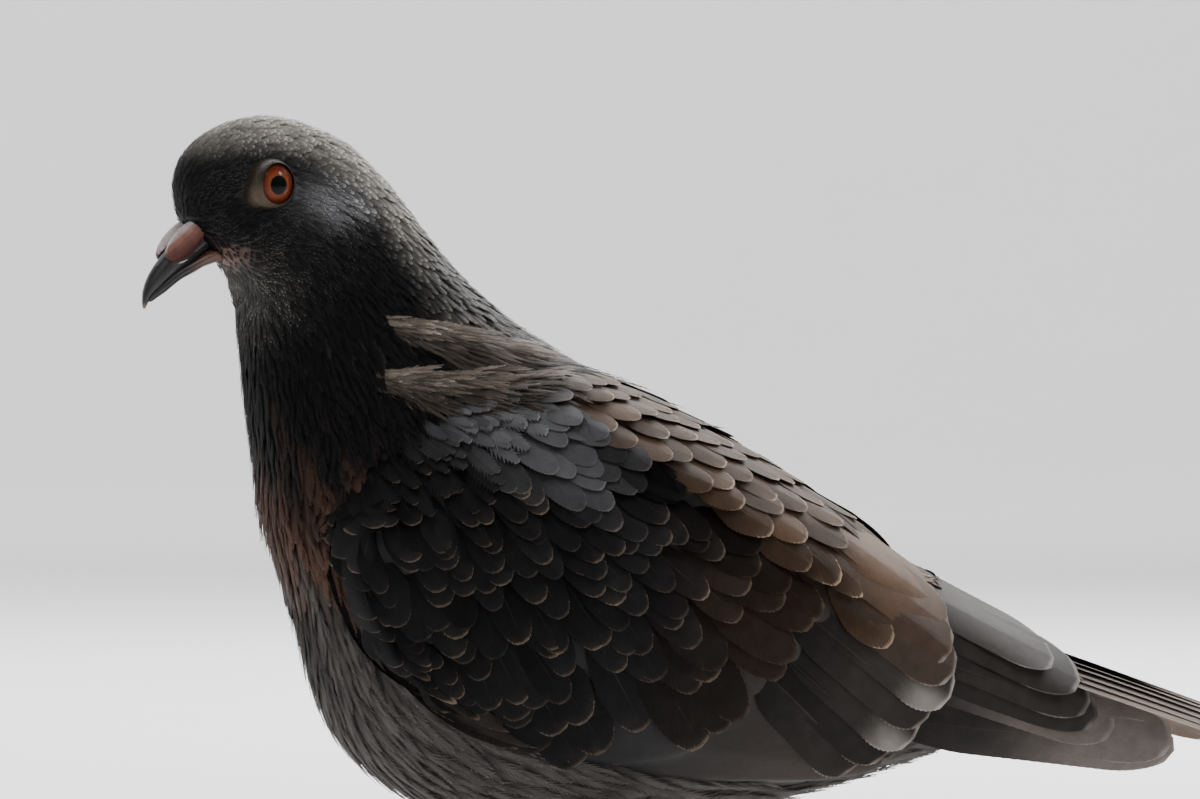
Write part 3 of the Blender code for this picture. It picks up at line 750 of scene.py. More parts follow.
def paint_underside(paint, points, rise):
    """Chestnut breast, dusky border and taupe belly, with a patchy border between them."""
    spots = chart(points)
    height = spots[:, 1]
    patchy = 6 * np.sin(spots[:, 0] * 0.9 + height * 0.35) + 4 * np.sin(points[:, 1] / MM * 0.8)
    level = height + patchy
    upper = level + 0.5 * (spots[:, 0] + 62).clip(0, 30)
    breast = smooth(132, 104, upper) * smooth(74, 92, level) * (1 - smooth(-16, 4, rise))
    paint.over(breast, tint("chestnut"), tint("chestnut_edge"))
    dusk = smooth(97, 83, level) * (1 - smooth(-4, 10, rise))
    paint.over(dusk, tint("taupe") * 0.45, tint("taupe_edge") * 0.45)
    belly = smooth(87, 72, level) * (1 - smooth(2, 16, rise))
    paint.over(belly, tint("taupe"), tint("taupe_edge"))


def fold_shade(spots):
    """Painted shade in the crease in which the coverts disappear under the scapulars: how dark it is at
    each place.
    """
    below = (fold_height(spots[:, 0]) - spots[:, 1]) * 0.87
    shade = smooth(-1.5, 1.5, below) * (1 - smooth(3, 11, below))
    return shade * smooth(-2, 8, spots[:, 0]) * (1 - smooth(60, 74, spots[:, 0]))


def wing_markings(points):
    """Ground and edge colours of the wing's coverts and scapulars at some places, darkened by painted
    shade along the crease between them.
    """
    spots = chart(points)
    along, height = spots.T
    rear = smooth(10, 62, along)
    ground = mixed(tint("slate"), tint("brown") * 0.36, rear)
    paint = Paint(ground, mixed(tint("covert_fringe"), tint("buff") * 0.8, rear * 0.7))
    shoulder = smooth(104, 117, height + 0.35 * along) * (1 - smooth(4, 20, along))
    paint.over(shoulder, tint("blue_grey") * 1.35, tint("blue_grey") * 2.4)
    top = smooth(-1, 3, height - fold_height(along)) * smooth(-8, 4, along)
    paint.over(top, tint("brown") * 0.75, tint("buff") * 1.15)
    # Painted shade along the crease darkens both colours.
    dark = (1 - 0.8 * fold_shade(spots))[:, None]
    return paint.ground * dark, paint.edging * dark


# ---------------------------------------------------------------- shader helpers

def feed(tree, made, key, value):
    """Gives an input of a node its constant, or links a socket to it."""
    if isinstance(value, bpy.types.NodeSocket):
        tree.links.new(value, made.inputs[key])
    else:
        made.inputs[key].default_value = value


def node(tree, kind, values=None, **settings):
    """Adds a shader node. values are constants or sockets for its inputs."""
    made = tree.nodes.new(kind)
    for name, value in settings.items():
        setattr(made, name, value)
    for key, value in (values or {}).items():
        feed(tree, made, key, value)
    return made


def reckon(tree, operation, *values, clamp=False):
    """One sum of up to three constants or sockets."""
    given = dict(enumerate(values))
    return node(tree, "ShaderNodeMath", given, operation=operation, use_clamp=clamp).outputs[0]


def position(tree):
    return node(tree, "ShaderNodeNewGeometry").outputs["Position"]


def opaque(name):
    """A colour of the bird as a shader takes it."""
    return (*tint(name), 1)


def ramp(tree, value, low, high):
    """0 below low, 1 above high."""
    made = node(
        tree, "ShaderNodeMapRange", {"Value": value, "From Min": low, "From Max": high},
        interpolation_type="SMOOTHSTEP",
    )
    return made.outputs[0]


def blend(tree, share, first, second):
    return node(tree, "ShaderNodeMix", {0: share, 6: first, 7: second}, data_type="RGBA").outputs[2]


def coloured(tree, shader, base, tone):
    """Gives a shader its colour, made lighter or darker by a tone."""
    made = node(tree, "ShaderNodeVectorMath", {0: base, "Scale": tone}, operation="SCALE")
    tree.links.new(made.outputs[0], shader.inputs["Base Color"])


def effect(name, inputs, outputs):
    """An empty node group with named inputs and outputs."""
    tree = bpy.data.node_groups.new(name, "ShaderNodeTree")
    for label, value in inputs:
        socket = tree.interface.new_socket(label, in_out="INPUT", socket_type="NodeSocketFloat")
        socket.default_value = value
    for label, kind in outputs:
        tree.interface.new_socket(label, in_out="OUTPUT", socket_type="NodeSocket" + kind)
    return tree, tree.nodes.new("NodeGroupInput").outputs, tree.nodes.new("NodeGroupOutput").inputs


def placed(tree, name, **values):
    """Puts a finished effect into a material."""
    made = tree.nodes.new("ShaderNodeGroup")
    made.node_tree = bpy.data.node_groups[name]
    for key, value in values.items():
        feed(tree, made, key.replace("_", " ").capitalize(), value)
    return made.outputs


# How far the barbs slant back from the shaft, and the turn of one barb's ridge.
BARB_SLANT, BARB_TURN = -0.28, 6.283


def make_vane_effect():
    """Fringe, shaft and barbs of a feather, read from its own Vane map."""
    inputs = [
        ("Side width", 0.1), ("Tip width", 0.03), ("Curve", 0.03), ("Fray", 0.1), ("Barbs", 40.0),
        ("Shaft width", 0.05), ("Bare root", 0.1),
    ]
    outputs = [("Edge", "Float"), ("Shaft", "Float"), ("Tone", "Float"), ("Height", "Float")]
    tree, given, results = effect("Vane pattern", inputs, outputs)
    spot = node(tree, "ShaderNodeUVMap", uv_map="Vane").outputs[0]
    axes = node(tree, "ShaderNodeSeparateXYZ", {0: spot}).outputs
    across = reckon(tree, "ABSOLUTE", reckon(tree, "MULTIPLY_ADD", axes[0], 2.0, -1.0))
    along = axes[1]
    slanted = reckon(tree, "MULTIPLY_ADD", across, BARB_SLANT, along)
    beat = reckon(tree, "MULTIPLY", slanted, given["Barbs"])
    place = position(tree)
    drift = node(tree, "ShaderNodeTexNoise", {"Vector": place, "Scale": 180.0, "Detail": 1.0})
    phase = reckon(tree, "ADD", beat, reckon(tree, "MULTIPLY", drift.outputs[0], 5.0))
    strands = node(
        tree, "ShaderNodeTexNoise", {"W": phase, "Scale": 1.0, "Detail": 2.0},
        noise_dimensions="1D",
    ).outputs[0]
    frayed = reckon(tree, "MULTIPLY", reckon(tree, "SUBTRACT", strands, 0.5), given["Fray"])
    reached = reckon(tree, "ADD", given["Bare root"], 0.45)
    side = reckon(tree, "MULTIPLY", across, ramp(tree, along, given["Bare root"], reached))
    square = reckon(tree, "MULTIPLY", across, across)
    bow = reckon(tree, "MULTIPLY_ADD", square, given["Curve"], along)
    fringes = []
    for reach, width in ((side, given["Side width"]), (bow, given["Tip width"])):
        jagged = reckon(tree, "ADD", reach, reckon(tree, "MULTIPLY", frayed, width))
        ready = reckon(tree, "ADD", reckon(tree, "SUBTRACT", jagged, 1.0), width)
        fringes.append(ramp(tree, ready, 0.0, width))
    worn = reckon(tree, "MULTIPLY_ADD", ramp(tree, drift.outputs[0], 0.36, 0.6), 0.65, 0.35)
    edge = reckon(tree, "MULTIPLY", reckon(tree, "MAXIMUM", *fringes), worn)
    tree.links.new(edge, results["Edge"])
    thin = reckon(tree, "DIVIDE", across, given["Shaft width"])
    shaft = reckon(tree, "SUBTRACT", 1.0, thin, clamp=True)
    tree.links.new(reckon(tree, "MULTIPLY", shaft, ramp(tree, along, 1.0, 0.5)), results["Shaft"])
    tree.links.new(reckon(tree, "MULTIPLY_ADD", strands, 0.9, 0.55), results["Tone"])
    ridge = reckon(tree, "SINE", reckon(tree, "MULTIPLY", beat, BARB_TURN))
    tree.links.new(reckon(tree, "MULTIPLY_ADD", ridge, 0.35, strands), results["Height"])


def make_mottle_effect():
    """Soft patches lighter and darker than the rest, at two sizes."""
    inputs = [("Small", 260.0), ("Large", 45.0), ("Strength", 0.5)]
    tree, given, results = effect("Mottle", inputs, [("Tone", "Float"), ("Patch", "Float")])
    place = position(tree)
    small = node(tree, "ShaderNodeTexNoise", {"Vector": place, "Scale": given["Small"], "Detail": 3.0})
    large = node(tree, "ShaderNodeTexNoise", {"Vector": place, "Scale": given["Large"], "Detail": 2.0})
    both = reckon(tree, "ADD", small.outputs[0], large.outputs[0])
    tone = reckon(tree, "MULTIPLY_ADD", reckon(tree, "SUBTRACT", both, 1.0), given["Strength"], 1.0)
    tree.links.new(tone, results["Tone"])
    tree.links.new(ramp(tree, large.outputs[0], 0.42, 0.6), results["Patch"])


def make_grain_effect():
    """Fine cells, such as the grains of bare skin or the small scales of a leg."""
    inputs = [("Scale", 1500.0), ("Softness", 0.5)]
    tree, given, results = effect("Grain", inputs, [("Height", "Float"), ("Crack", "Float")])
    place = position(tree)
    cells = node(tree, "ShaderNodeTexVoronoi", {"Vector": place, "Scale": given["Scale"]})
    border = node(
        tree, "ShaderNodeTexVoronoi", {"Vector": place, "Scale": given["Scale"]},
        feature="DISTANCE_TO_EDGE",
    )
    hollow = reckon(tree, "MULTIPLY", cells.outputs[0], given["Softness"])
    tree.links.new(reckon(tree, "SUBTRACT", 1.0, hollow), results["Height"])
    tree.links.new(ramp(tree, border.outputs[0], 0.12, 0.02), results["Crack"])


def material(name, roughness, **values):
    """A new material with its shader's plain values set. Returns it, its tree and its shader."""
    made = bpy.data.materials.new(name + "_finish")
    made.use_nodes = True
    tree = made.node_tree
    shader = tree.nodes["Principled BSDF"]
    shader.inputs["Roughness"].default_value = roughness
    for key, value in values.items():
        shader.inputs[key.replace("_", " ")].default_value = value
    return made, tree, shader


def bumped(tree, shader, height, depth, strength=0.6):
    bump = node(tree, "ShaderNodeBump", {"Height": height, "Distance": depth, "Strength": strength})
    tree.links.new(bump.outputs[0], shader.inputs["Normal"])


def attribute(tree, name):
    return node(tree, "ShaderNodeAttribute", attribute_name=name).outputs


def feather_material(name, roughness, strength=1.0, halo=0.0, shine=0.10, **pattern):
    """Feathers: ground colour, a frayed fringe, the shaft and fine barbs. halo is how much of
    the fringe's colour runs on softly inside it."""
    _, tree, shader = material(name, roughness, Specular_IOR_Level=shine)
    vane = placed(tree, "Vane pattern", **pattern)
    mottle = placed(tree, "Mottle", strength=0.7)
    ground, edging = attribute(tree, "ground")["Color"], attribute(tree, "edging")["Color"]
    shown = blend(tree, reckon(tree, "MULTIPLY", vane["Edge"], strength), ground, edging)
    shown = blend(tree, reckon(tree, "MULTIPLY", vane["Shaft"], 0.12), shown, edging)
    if halo:
        wide = dict(pattern, side_width=0.5, tip_width=0.3, fray=0.5)
        soft = placed(tree, "Vane pattern", **wide)["Edge"]
        shown = blend(tree, reckon(tree, "MULTIPLY", soft, halo), shown, edging)
    tone = reckon(tree, "MULTIPLY", vane["Tone"], mottle["Tone"])
    coloured(tree, shader, shown, tone)
    rough = reckon(tree, "MULTIPLY_ADD", vane["Height"], 0.12, roughness - 0.08)
    tree.links.new(rough, shader.inputs["Roughness"])
    bumped(tree, shader, vane["Height"], 0.00006)


def make_feather_materials():
    """One finish for each kind of feather."""
    loose = {"side_width": 0.45, "tip_width": 0.10, "fray": 2.4}
    feather_material("head_feathers", 0.62, 0.8, side_width=0.26, tip_width=0.24, fray=1.4, barbs=12)
    feather_material("loose_feathers", 0.60, 1.0, barbs=22, side_width=0.50, tip_width=0.14, fray=2.2)
    feather_material("neck_feathers", 0.58, 0.6, barbs=26, **loose)
    feather_material("body_feathers", 0.70, 0.6, barbs=36, **loose)
    feather_material(
        "wing_feathers", 0.60, 0.85, 0.07, 0.05, side_width=0.11, tip_width=0.05, fray=1.5, barbs=60,
        bare_root=0.45,
    )
    feather_material(
        "flight_feathers", 0.52, 0.9, 0.0, 0.06, side_width=0.07, tip_width=0.022, fray=1.2,
        barbs=150, shaft_width=0.03, bare_root=0.4,
    )


def finish(name):
    found = bpy.data.materials.get(name + "_finish")
    if found is None:
        raise RuntimeError(f"the finish {name} isn't made yet")
    return found


def make_skin_material():
    """The skin under the feathers, with the coat's own markings."""
    made, tree, shader = material("under_skin", 0.75)
    mottle = placed(tree, "Mottle", small=700.0, strength=0.8)
    grain = placed(tree, "Grain", scale=900.0)
    share, ground = attribute(tree, "gape")["Fac"], attribute(tree, "ground")["Color"]
    base = blend(tree, share, ground, opaque("gape"))
    coloured(tree, shader, base, mottle["Tone"])
    bumped(tree, shader, grain["Height"], 0.0001)
    return made


def make_horn_material():
    """Slate-black bill and claws, paler and warmer at the worn tip."""
    _, tree, shader = material("bill_horn", 0.34, Coat_Weight=0.25, Coat_Roughness=0.3)
    mottle = placed(tree, "Mottle", small=1500.0, large=220.0, strength=0.6)
    worn = attribute(tree, "worn")["Fac"]
    base = blend(tree, worn, opaque("horn"), opaque("horn_tip"))
    base = blend(tree, attribute(tree, "flush")["Fac"], base, opaque("gape"))
    coloured(tree, shader, base, mottle["Tone"])
    rough = reckon(tree, "MULTIPLY_ADD", mottle["Patch"], 0.12, 0.30)
    tree.links.new(rough, shader.inputs["Roughness"])
    bumped(tree, shader, mottle["Tone"], 0.00008)


def make_bare_skin_material(name, shine):
    """Bare skin of cere or lids: pink-brown with a chalky bloom, which on the cere is laid where it faces
    up and so is also a painted highlight.
    """
    _, tree, shader = material(name, 0.55, Subsurface_Weight=0.08, Specular_IOR_Level=shine)
    shader.inputs["Subsurface Scale"].default_value = 0.001
    mottle = placed(tree, "Mottle", small=1800.0, large=400.0, strength=0.5)
    grain = placed(tree, "Grain", scale=2600.0)
    bloom = attribute(tree, "bloom")["Fac"]
    speckled = reckon(tree, "MULTIPLY", bloom, reckon(tree, "SUBTRACT", 1.0, grain["Crack"]))
    base = blend(tree, speckled, attribute(tree, "ground")["Color"], attribute(tree, "edging")["Color"])
    coloured(tree, shader, base, mottle["Tone"])
    bumped(tree, shader, grain["Height"], 0.00012)


# The dark outer border of the iris, and the pupil.
IRIS_BORDER, PUPIL_TONE = (0.030, 0.010, 0.008, 1), (0.0015, 0.002, 0.003, 1)


def make_eye_material():
    """Iris and pupil under a wet coat. The map runs from the pupil's middle outwards."""
    wet = {"Specular_IOR_Level": 0.03, "Coat_Weight": 0.28, "Coat_Roughness": 0.02}
    _, tree, shader = material("eye", 0.25, **wet)
    spot = node(tree, "ShaderNodeUVMap", uv_map="Iris").outputs[0]
    axes = node(tree, "ShaderNodeSeparateXYZ", {0: spot}).outputs
    place = position(tree)
    cloud = node(tree, "ShaderNodeTexNoise", {"Vector": place, "Scale": 900.0, "Detail": 3.0}).outputs[0]
    spokes = node(
        tree, "ShaderNodeTexNoise", {"W": axes[1], "Scale": 60.0, "Detail": 2.0}, noise_dimensions="1D",
    ).outputs[0]
    radius = reckon(tree, "MULTIPLY_ADD", reckon(tree, "SUBTRACT", cloud, 0.5), 0.10, axes[0])
    outer = blend(tree, ramp(tree, radius, 0.50, 0.80), opaque("iris_ring"), opaque("iris"))
    outer = blend(tree, ramp(tree, radius, 0.86, 1.0), outer, IRIS_BORDER)
    streaks = reckon(tree, "MULTIPLY_ADD", spokes, 0.8, 0.6)
    outer = node(tree, "ShaderNodeVectorMath", {0: outer, "Scale": streaks}, operation="SCALE").outputs[0]
    shown = blend(tree, ramp(tree, axes[0], 0.475, 0.445), outer, PUPIL_TONE)
    tree.links.new(shown, shader.inputs["Base Color"])


def make_leg_material():
    """Scaly legs: cross scutes along the front and small round scales behind."""
    _, tree, shader = material("leg_scales", 0.48)
    saw = reckon(tree, "FRACT", attribute(tree, "scute")["Fac"])
    groove = ramp(tree, saw, 0.16, 0.02)
    grain = placed(tree, "Grain", scale=1400.0)
    mottle = placed(tree, "Mottle", small=900.0, strength=0.5)
    front = attribute(tree, "front")["Fac"]
    crack = reckon(tree, "MAXIMUM", reckon(tree, "MULTIPLY", groove, front), grain["Crack"])
    base = blend(tree, reckon(tree, "MULTIPLY", crack, 0.7), opaque("leg"), opaque("leg_edge"))
    coloured(tree, shader, base, mottle["Tone"])
    height = reckon(tree, "SUBTRACT", grain["Height"], reckon(tree, "MULTIPLY", crack, 0.8))
    bumped(tree, shader, height, 0.00018)


def make_studio_material():
    """Pale paper with a trace of tone."""
    made, tree, shader = material("studio_paper", 0.85)
    mottle = placed(tree, "Mottle", small=9.0, large=1.5, strength=0.03)
    coloured(tree, shader, tint("studio"), mottle["Tone"])
    return made


# ---------------------------------------------------------------- skin

class Bird:
    """What the operators share while the bird is being built."""
    lie = None
    ground = None
    regions = None


def nearest_group(points, groups):
    """For each place, which group of nodes it is nearest to."""
    trees = [tree_of(names) for names in groups]
    found = np.empty(len(points), int)
    for k, place in enumerate(points.tolist()):
        gaps = [tree.find_nearest(place)[3] for tree in trees]
        found[k] = gaps.index(min(gaps))
    return found


def flesh_groups():
    groups = [FLESH]
    for layer in WING_BLOCKS:
        groups.append(tuple(f"wing_{side}_{layer}" for side in SIDES))
    return groups


# How much deeper the skin lies around the eyes, and how far from bill and shanks the coat starts
# and is as deep as elsewhere. Metres.
EYE_SOCKET, COAT_START, COAT_FULL = 0.0019, 0.0004, 0.0045


def coat_depth(points, regions):
    """How far the skin lies inside the coat's outline."""
    run, _ = Bird.lie.read(points)
    flesh = sizes().head_depth + (sizes().body_depth - sizes().head_depth) * smooth(35, 95, run)
    depth = np.where(regions == 0, flesh, sizes().wing_depth)
    bare = tree_of(BARE)
    reach = np.array([bare.find_nearest(place)[3] for place in points.tolist()])
    depth = depth * smooth(COAT_START, COAT_FULL, reach)
    return depth + EYE_SOCKET * smooth(LID_EDGE, 4.0, eye_reach(points))


def make_skin():
    names = list(FLESH)
    for side in SIDES:
        names += [f"wing_{side}_{layer}" for layer in WING_BLOCKS] + ["eye_" + side]
    mesh = melted(names, sizes().voxel, 5)
    points = mesh_points(mesh)
    regions = nearest_group(points, flesh_groups())
    depth = relaxed(mesh, coat_depth(points, regions)[:, None], 6)
    normals = unit(relaxed(mesh, mesh_normals(mesh), 3))
    set_points(mesh, relaxed(mesh, points - normals * depth, 3))
    skin = piece("skin", mesh, make_skin_material(), *FLESH)
    points = mesh_points(mesh)
    ground, _, gape = body_markings(Bird.lie, points)
    wing_ground, _ = wing_markings(points)
    ground = mixed(ground * 0.8, wing_ground * 0.8, regions > 0)
    set_colour(mesh, "ground", ground)
    set_value(mesh, "gape", gape * (regions == 0))
    unwrapped(skin)
    Bird.ground = Ground(skin)
    Bird.regions = regions[Bird.ground.triangles[:, 0]]


# ---------------------------------------------------------------- coat of head, neck and body

RUN_STEPS = (0, 12, 30, 48, 66, 88, 112, 150, 230)
COAT_SIZES = {
    "gap": (0.75, 0.85, 0.95, 1.15, 1.45, 1.75, 2.1, 2.5, 2.8),
    "length": (1.7, 2.5, 3.6, 5.6, 8.0, 10.0, 12.5, 15.0, 16.0),
    "width": (1.1, 1.45, 1.7, 2.0, 2.6, 3.2, 3.8, 4.4, 4.8),
    "lift": (0.30, 0.45, 0.60, 0.80, 1.1, 1.4, 1.6, 1.8, 1.6),
}


def coat_size(label, run):
    return np.interp(run, RUN_STEPS, COAT_SIZES[label]) * MM


def lid_reach(turn):
    """How far the bare skin reaches from the eye's middle, in millimetres, by the way round."""
    corner = math.radians(-33)
    off = np.arctan2(np.sin(turn - corner), np.cos(turn - corner))
    return 5.1 + 0.6 * np.sin(turn).clip(0, None) + 2.1 * np.exp(-(off / 0.45) ** 2)


# What eye_reach reads at the edge of the lids, and the least it may read at a feather's root and
# over its length, in millimetres.
LID_EDGE, ROOT_CLEAR, TIP_CLEAR = 5.2, 5.15, 4.75


def eye_reach(points, bare=False):
    """Millimetres from the nearer eye's axis, or with bare, from its lids' edge plus LID_EDGE."""
    reach = np.full(len(points), 1e9)
    for eye, sign in zip(Bird.lie.eyes, SIDES.values()):
        offset = points - np.array(eye)
        ahead = offset @ np.array(Bird.lie.forward) / MM
        up = offset[:, 2] / MM
        away = np.hypot(ahead, up)
        if bare:
            away = away - lid_reach(np.arctan2(up, ahead)) + LID_EDGE
        away[points[:, 1] * sign < 0] = 1e9
        reach = np.minimum(reach, away)
    return reach


def past_shoulder(x, z):
    """Millimetres behind the front border of the wing's feathers, for places at its height."""
    line = np.array(SHOULDER, float)
    return np.where((z > line[0, 1]) & (z < line[-1, 1]), x - np.interp(z, line[:, 1], line[:, 0]), -99)


def shoulder_band(points):
    """Where the shoulder's feathers cover the side of the body beside the wing's front edge."""
    x, z = chart(points).T
    return (past_shoulder(x, z) > 0) & (x < 6) & (np.abs(points[:, 1]) > 12 * MM)


def breast_tuft(points):
    """How much the feathers stand out at the small tuft on the front of the breast."""
    return blob(chart(points), -56, 106, 7, 4.5)


# The ridge of each loose fold of the neck, front to rear, and how steeply its feathers fan down.
RUFFLES = (
    (((-33, 143), (-21, 140.5), (-2, 137.5)), 0.55),
    (((-35.5, 131), (-25, 130.8), (-2, 131.7)), 0.95),
)


RUFFLE_COUNT = 330


def ruffle_places(ridge, fanned, sign, rng):
    """Places, directions, shares along the ridge, levels below it and triangles of one fold."""
    skin = Bird.ground
    ahead = unit(ridge[2] - ridge[0])
    below = np.array((ahead[1], -ahead[0]))
    rows = []
    for _ in range(RUFFLE_COUNT):
        share, level = rng.random() ** 1.15, rng.random()
        spot = np.array([np.interp(share, (0, 0.4, 1), ridge[:, k]) for k in (0, 1)])
        spot = spot + below * (level * 5.0 * smooth(-0.1, 0.5, share) + rng.normal(0, 0.5))
        hit = skin.tree.ray_cast(at(spot[0], spot[1], sign * 90), Vector((0, -sign, 0)))
        if hit[0] is None:
            continue
        turned = ahead + below * (fanned * (0.15 + 0.85 * level) + rng.normal(0, 0.10))
        way = np.array((turned[0], 0, turned[1]))
        normal = skin.normals[hit[2]]
        way = unit(way - way.dot(normal) * normal)
        rows.append((np.array(hit[0]), way, share, level, hit[2]))
    return [np.array(column) for column in zip(*rows)]


def make_ruffles(side):
    """The two loose folds at the side of the neck: long narrow feathers that fan off a ridge."""
    skin, sign = Bird.ground, SIDES[side]
    rng = np.random.default_rng(170 + sign)
    plumage = Plumage()
    for ridge, fanned in RUFFLES:
        places, ways, share, level, faces = ruffle_places(np.array(ridge, float), fanned, sign, rng)
        count = len(places)
        lengths = rng.uniform(8, 15, count) * (0.7 + 0.3 * share) * MM
        widths = rng.uniform(0.6, 1.1, count) * MM
        patches, bends = skin.patches(places, ways, lengths, widths)
        # Painted highlight: the strands at the top of each fold are pale where light from above catches
        # the ridge; lower down they keep the neck's dark colour.
        light = (1 - smooth(0.0, 0.55, level)) * rng.uniform(0.4, 1, count)
        ground = mixed(tint("black") * 1.5, tint("nape") * 2.0, 0.20 + 0.80 * light)
        edging = mixed(tint("nape"), tint("ruffle"), light * (1 - 0.5 * share))
        low = (-0.3 + 1.0 * smooth(0.0, 0.25, share)) * MM
        high = 2.5 - 1.6 * level + rng.uniform(-0.3, 0.7, count)
        high = high * (0.6 + 0.4 * smooth(0, 0.3, share)) * MM
        kinds = picked(np.full(count, SOFT), rng)
        for key in range(SOFT, SOFT + LIKE_VANES):
            chosen = kinds == key
            ground[chosen] = plain(ground[chosen], rng, 0.25)
            edging[chosen] = plain(edging[chosen], rng, 0.3)
        plumage.lay_kinds(
            kinds, kinds >= SOFT, patches, bends, low, high, widths, skin.unwrap[faces], ground, edging,
        )
    plumage.made(f"neck_ruffles_{side}", finish("loose_feathers"), "neck_feathers")


def over_wing(tips):
    """Whether the end of a feather would cover the shoulder or the wing."""
    faces = [Bird.ground.tree.find_nearest(place)[2] for place in tips.tolist()]
    return (Bird.regions[faces] > 0) | (shoulder_band(tips) & (tips[:, 2] > 84 * MM))


def make_coat(name, wanted, styles, finish_name, seed, fine=1.0, slot=None):
    """Scatters feathers over part of the skin and lays them along the coat, one piece a side.
    fine is how much smaller they are than the coat's usual ones."""
    skin, lie = Bird.ground, Bird.lie
    run, _ = lie.read(skin.middles)
    gap = coat_size("gap", run) * fine
    places, faces = skin.scatter(wanted, gap, seed)
    rng = np.random.default_rng(seed + 1)
    normals = skin.normals[faces]
    ways = lie.way(places, normals)
    twist = rng.normal(0, 0.13, len(places))[:, None]
    ways = unit(ways + np.cross(normals, ways) * twist)
    run, rise = lie.read(places)
    ear = ear_patch(places)
    count = len(places)
    lengths = coat_size("length", run) * fine * rng.uniform(0.85, 1.15, count) * (1 + 0.5 * ear)
    widths = coat_size("width", run) * fine / 2 * rng.uniform(0.9, 1.1, count)
    lift = coat_size("lift", run) * rng.uniform(0.8, 1.15, count) + 2.4 * MM * breast_tuft(places)
    ground, edging, gape = body_markings(lie, places)
    ground, edging = plain(ground, rng), plain(edging, rng, 0.18)
    kept = eye_reach(places, True) > ROOT_CLEAR
    kept &= (gape < 0.35) | (rng.random(len(places)) < 0.65)
    edging = mixed(edging, tint("cheek_edge") * 0.9, gape)
    lengths = lengths * np.where(gape > 0.3, 0.5, 1.0)
    patches, bends = skin.patches(places, ways, lengths, widths)
    for nine in (MID_PLACE, TIP_PLACE):
        kept &= eye_reach(patches[:, nine], True) > TIP_CLEAR
    long = np.flatnonzero((rise < 12) & over_wing(patches[:, TIP_PLACE]))
    if len(long):
        lengths[long] *= 0.45
        patches[long], bends[long] = skin.patches(places[long], ways[long], lengths[long], widths[long])
        kept[long] &= ~over_wing(patches[long, MID_PLACE])
    kinds, roots = styles(run, rise, rng), skin.unwrap[faces]
    low = np.full(len(places), 0.05 * MM)
    for side, sign in SIDES.items():
        plumage = Plumage()
        mine = kept & (places[:, 1] * sign > 0)
        plumage.lay_kinds(kinds, mine, patches, bends, low, lift, widths, roots, ground, edging)
        plumage.made(f"{name}_{side}", finish(finish_name), slot or finish_name)


# The feather shapes that the coat is laid from, by number. A family's first number is its name.
VANES = {}
TINY, HAIR, SCALY, HACKLE, COVERT, SOFT = 0, 10, 20, 30, 40, 50
LIKE_VANES = 4


def make_vanes():
    """The few feather shapes that the whole coat is laid from."""
    families = {
        TINY: vanes(round_end, 6, 1, 0.75, 0.5, 0.22, 11),
        HAIR: vanes(lance_end, 9, 2, 0.34, 0.7, 0.30, 21),
        SCALY: vanes(round_end, 12, 2, 0.60, 0.6, 0.20, 31),
        HACKLE: vanes(lance_end, 12, 2, 0.40, 0.8, 0.25, 41),
        COVERT: vanes(round_end, 16, 3, 0.96, 0.40, 0.05, 51),
        SOFT: vanes(lance_end, 12, 1, 0.35, 0.55, 0.25, 61),
    }
    for first, family in families.items():
        for step, vane in enumerate(family):
            VANES[first + step] = vane


def picked(base, rng):
    """One of the like vanes of a family, at random."""
    return base + rng.integers(0, LIKE_VANES, len(base))


def crown_styles(run, rise, rng):
    return picked(np.full(len(run), TINY), rng)


def face_styles(run, rise, rng):
    """Hair-like feathers on ear, cheek and throat."""
    return picked(np.full(len(run), HAIR), rng)


def neck_styles(run, rise, rng):
    hackle = rng.random(len(run)) < 1 - 0.75 * smooth(70, 92, run)
    return picked(np.where(hackle, HAIR, SCALY), rng)


def body_styles(run, rise, rng):
    soft = smooth(98, 118, run) * (1 - smooth(4, 14, rise)) + 0.25
    return picked(np.where(soft > rng.random(len(run)), SOFT, HACKLE), rng)


def coat_limits():
    """Shares of the skin for the coats of crown, face, neck and body."""
    run, rise = Bird.lie.read(Bird.ground.middles)
    flesh = (Bird.regions == 0)
    crown = flesh & (run < 60) & (crown_share(run, rise) > 0.2)
    face = flesh & (run < 48) & ~crown
    neck = flesh & (run >= 48) & (run < 88) & ~crown
    return crown, face, neck, flesh & (run >= 88)


# ---------------------------------------------------------------- wings

def hub_way(degrees):
    """A direction in the side view, by its angle below level."""
    turn = math.radians(degrees)
    return np.array((math.cos(turn), -math.sin(turn)))


